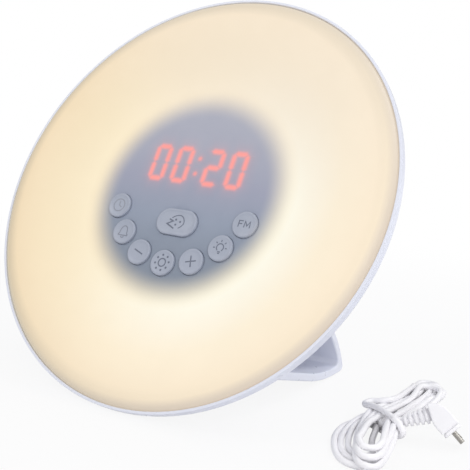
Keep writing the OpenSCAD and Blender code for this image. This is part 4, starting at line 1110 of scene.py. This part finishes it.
def make_floor():
    """A pale floor that keeps the object's shadow and is white to the camera further out."""
    mesh = bpy.data.meshes.new("floor")
    mesh.from_pydata([(x * FLOOR_HALF, y * FLOOR_HALF, -FLOOR_SINK)
                      for x, y in ((-1, -1), (1, -1), (1, 1), (-1, 1))], [], [(0, 1, 2, 3)])
    floor = add_object("floor", mesh)
    f = Finish("floor_pale")
    f.set(Base_Color=f.shade(srgb(222, 222, 226), 0.01, 4), Roughness=0.9)
    ray = f.add("LightPath").outputs
    seen = f.math("MAXIMUM", f.math("MAXIMUM", ray["Is Camera Ray"], ray["Is Glossy Ray"]),
                  ray["Is Transmission Ray"])
    white = f.add("Emission", {"Color": WHITE, "Strength": 1.0}).outputs[0]
    share = f.step(f.vector("LENGTH", f.where), FLOOR_NEAR, FLOOR_FAR, FLOOR_SHARE, 1.0)
    both = f.add("MixShader", {0: f.math("MULTIPLY", seen, share),
                               1: f.shader.outputs[0], 2: white}).outputs[0]
    f.put(f.tree.nodes["Material Output"], "Surface", both)
    mesh.materials.append(f.material)


def make_world():
    """Even light on the object, and white where the camera looks past it."""
    world = bpy.data.worlds.new("studio")
    world.use_nodes = True
    bpy.context.scene.world = world
    sky = Nodes(world.node_tree)
    plain = sky.tree.nodes["Background"]
    sky.put(plain, "Color", WHITE)
    sky.put(plain, "Strength", WORLD_LEVEL)
    white = sky.add("Background", {"Color": WHITE, "Strength": 1.0})
    ray = sky.add("LightPath").outputs
    seen = sky.math("MAXIMUM", ray["Is Camera Ray"], ray["Is Transmission Ray"])
    both = sky.add("MixShader", {0: seen, 1: plain.outputs[0], 2: white.outputs[0]}).outputs[0]
    sky.put(sky.tree.nodes["World Output"], "Surface", both)


def make_lamp(name, place, target, size, power):
    data = bpy.data.lights.new(name, "AREA")
    data.shape, data.size, data.energy = "DISK", size, power
    lamp = add_object(name, data)
    lamp.location = place
    lamp.rotation_euler = (Vector(target) - Vector(place)).to_track_quat("-Z", "Y").to_euler()


def make_lamps():
    make_lamp("left_lamp", (-0.75, -0.65, 1.05), (0, 0, 0.06), 0.55, 2.9)
    make_lamp("right_lamp", (0.85, -0.75, 0.55), (0, 0, 0.06), 0.8, 4.9)
    make_lamp("back_lamp", (0.6, 0.45, 1.0), (0.05, 0, 0.03), 0.6, 4.0)


# ---- the whole scene
make_camera()
dress_cad_nodes()
make_cord(make_micro_plug() + make_usb_plug())
make_diffuser()
make_buttons()
make_shell()
make_cover()
make_stand()
make_floor()
make_world()
make_lamps()
bpy.context.scene.view_settings.view_transform = "Standard"
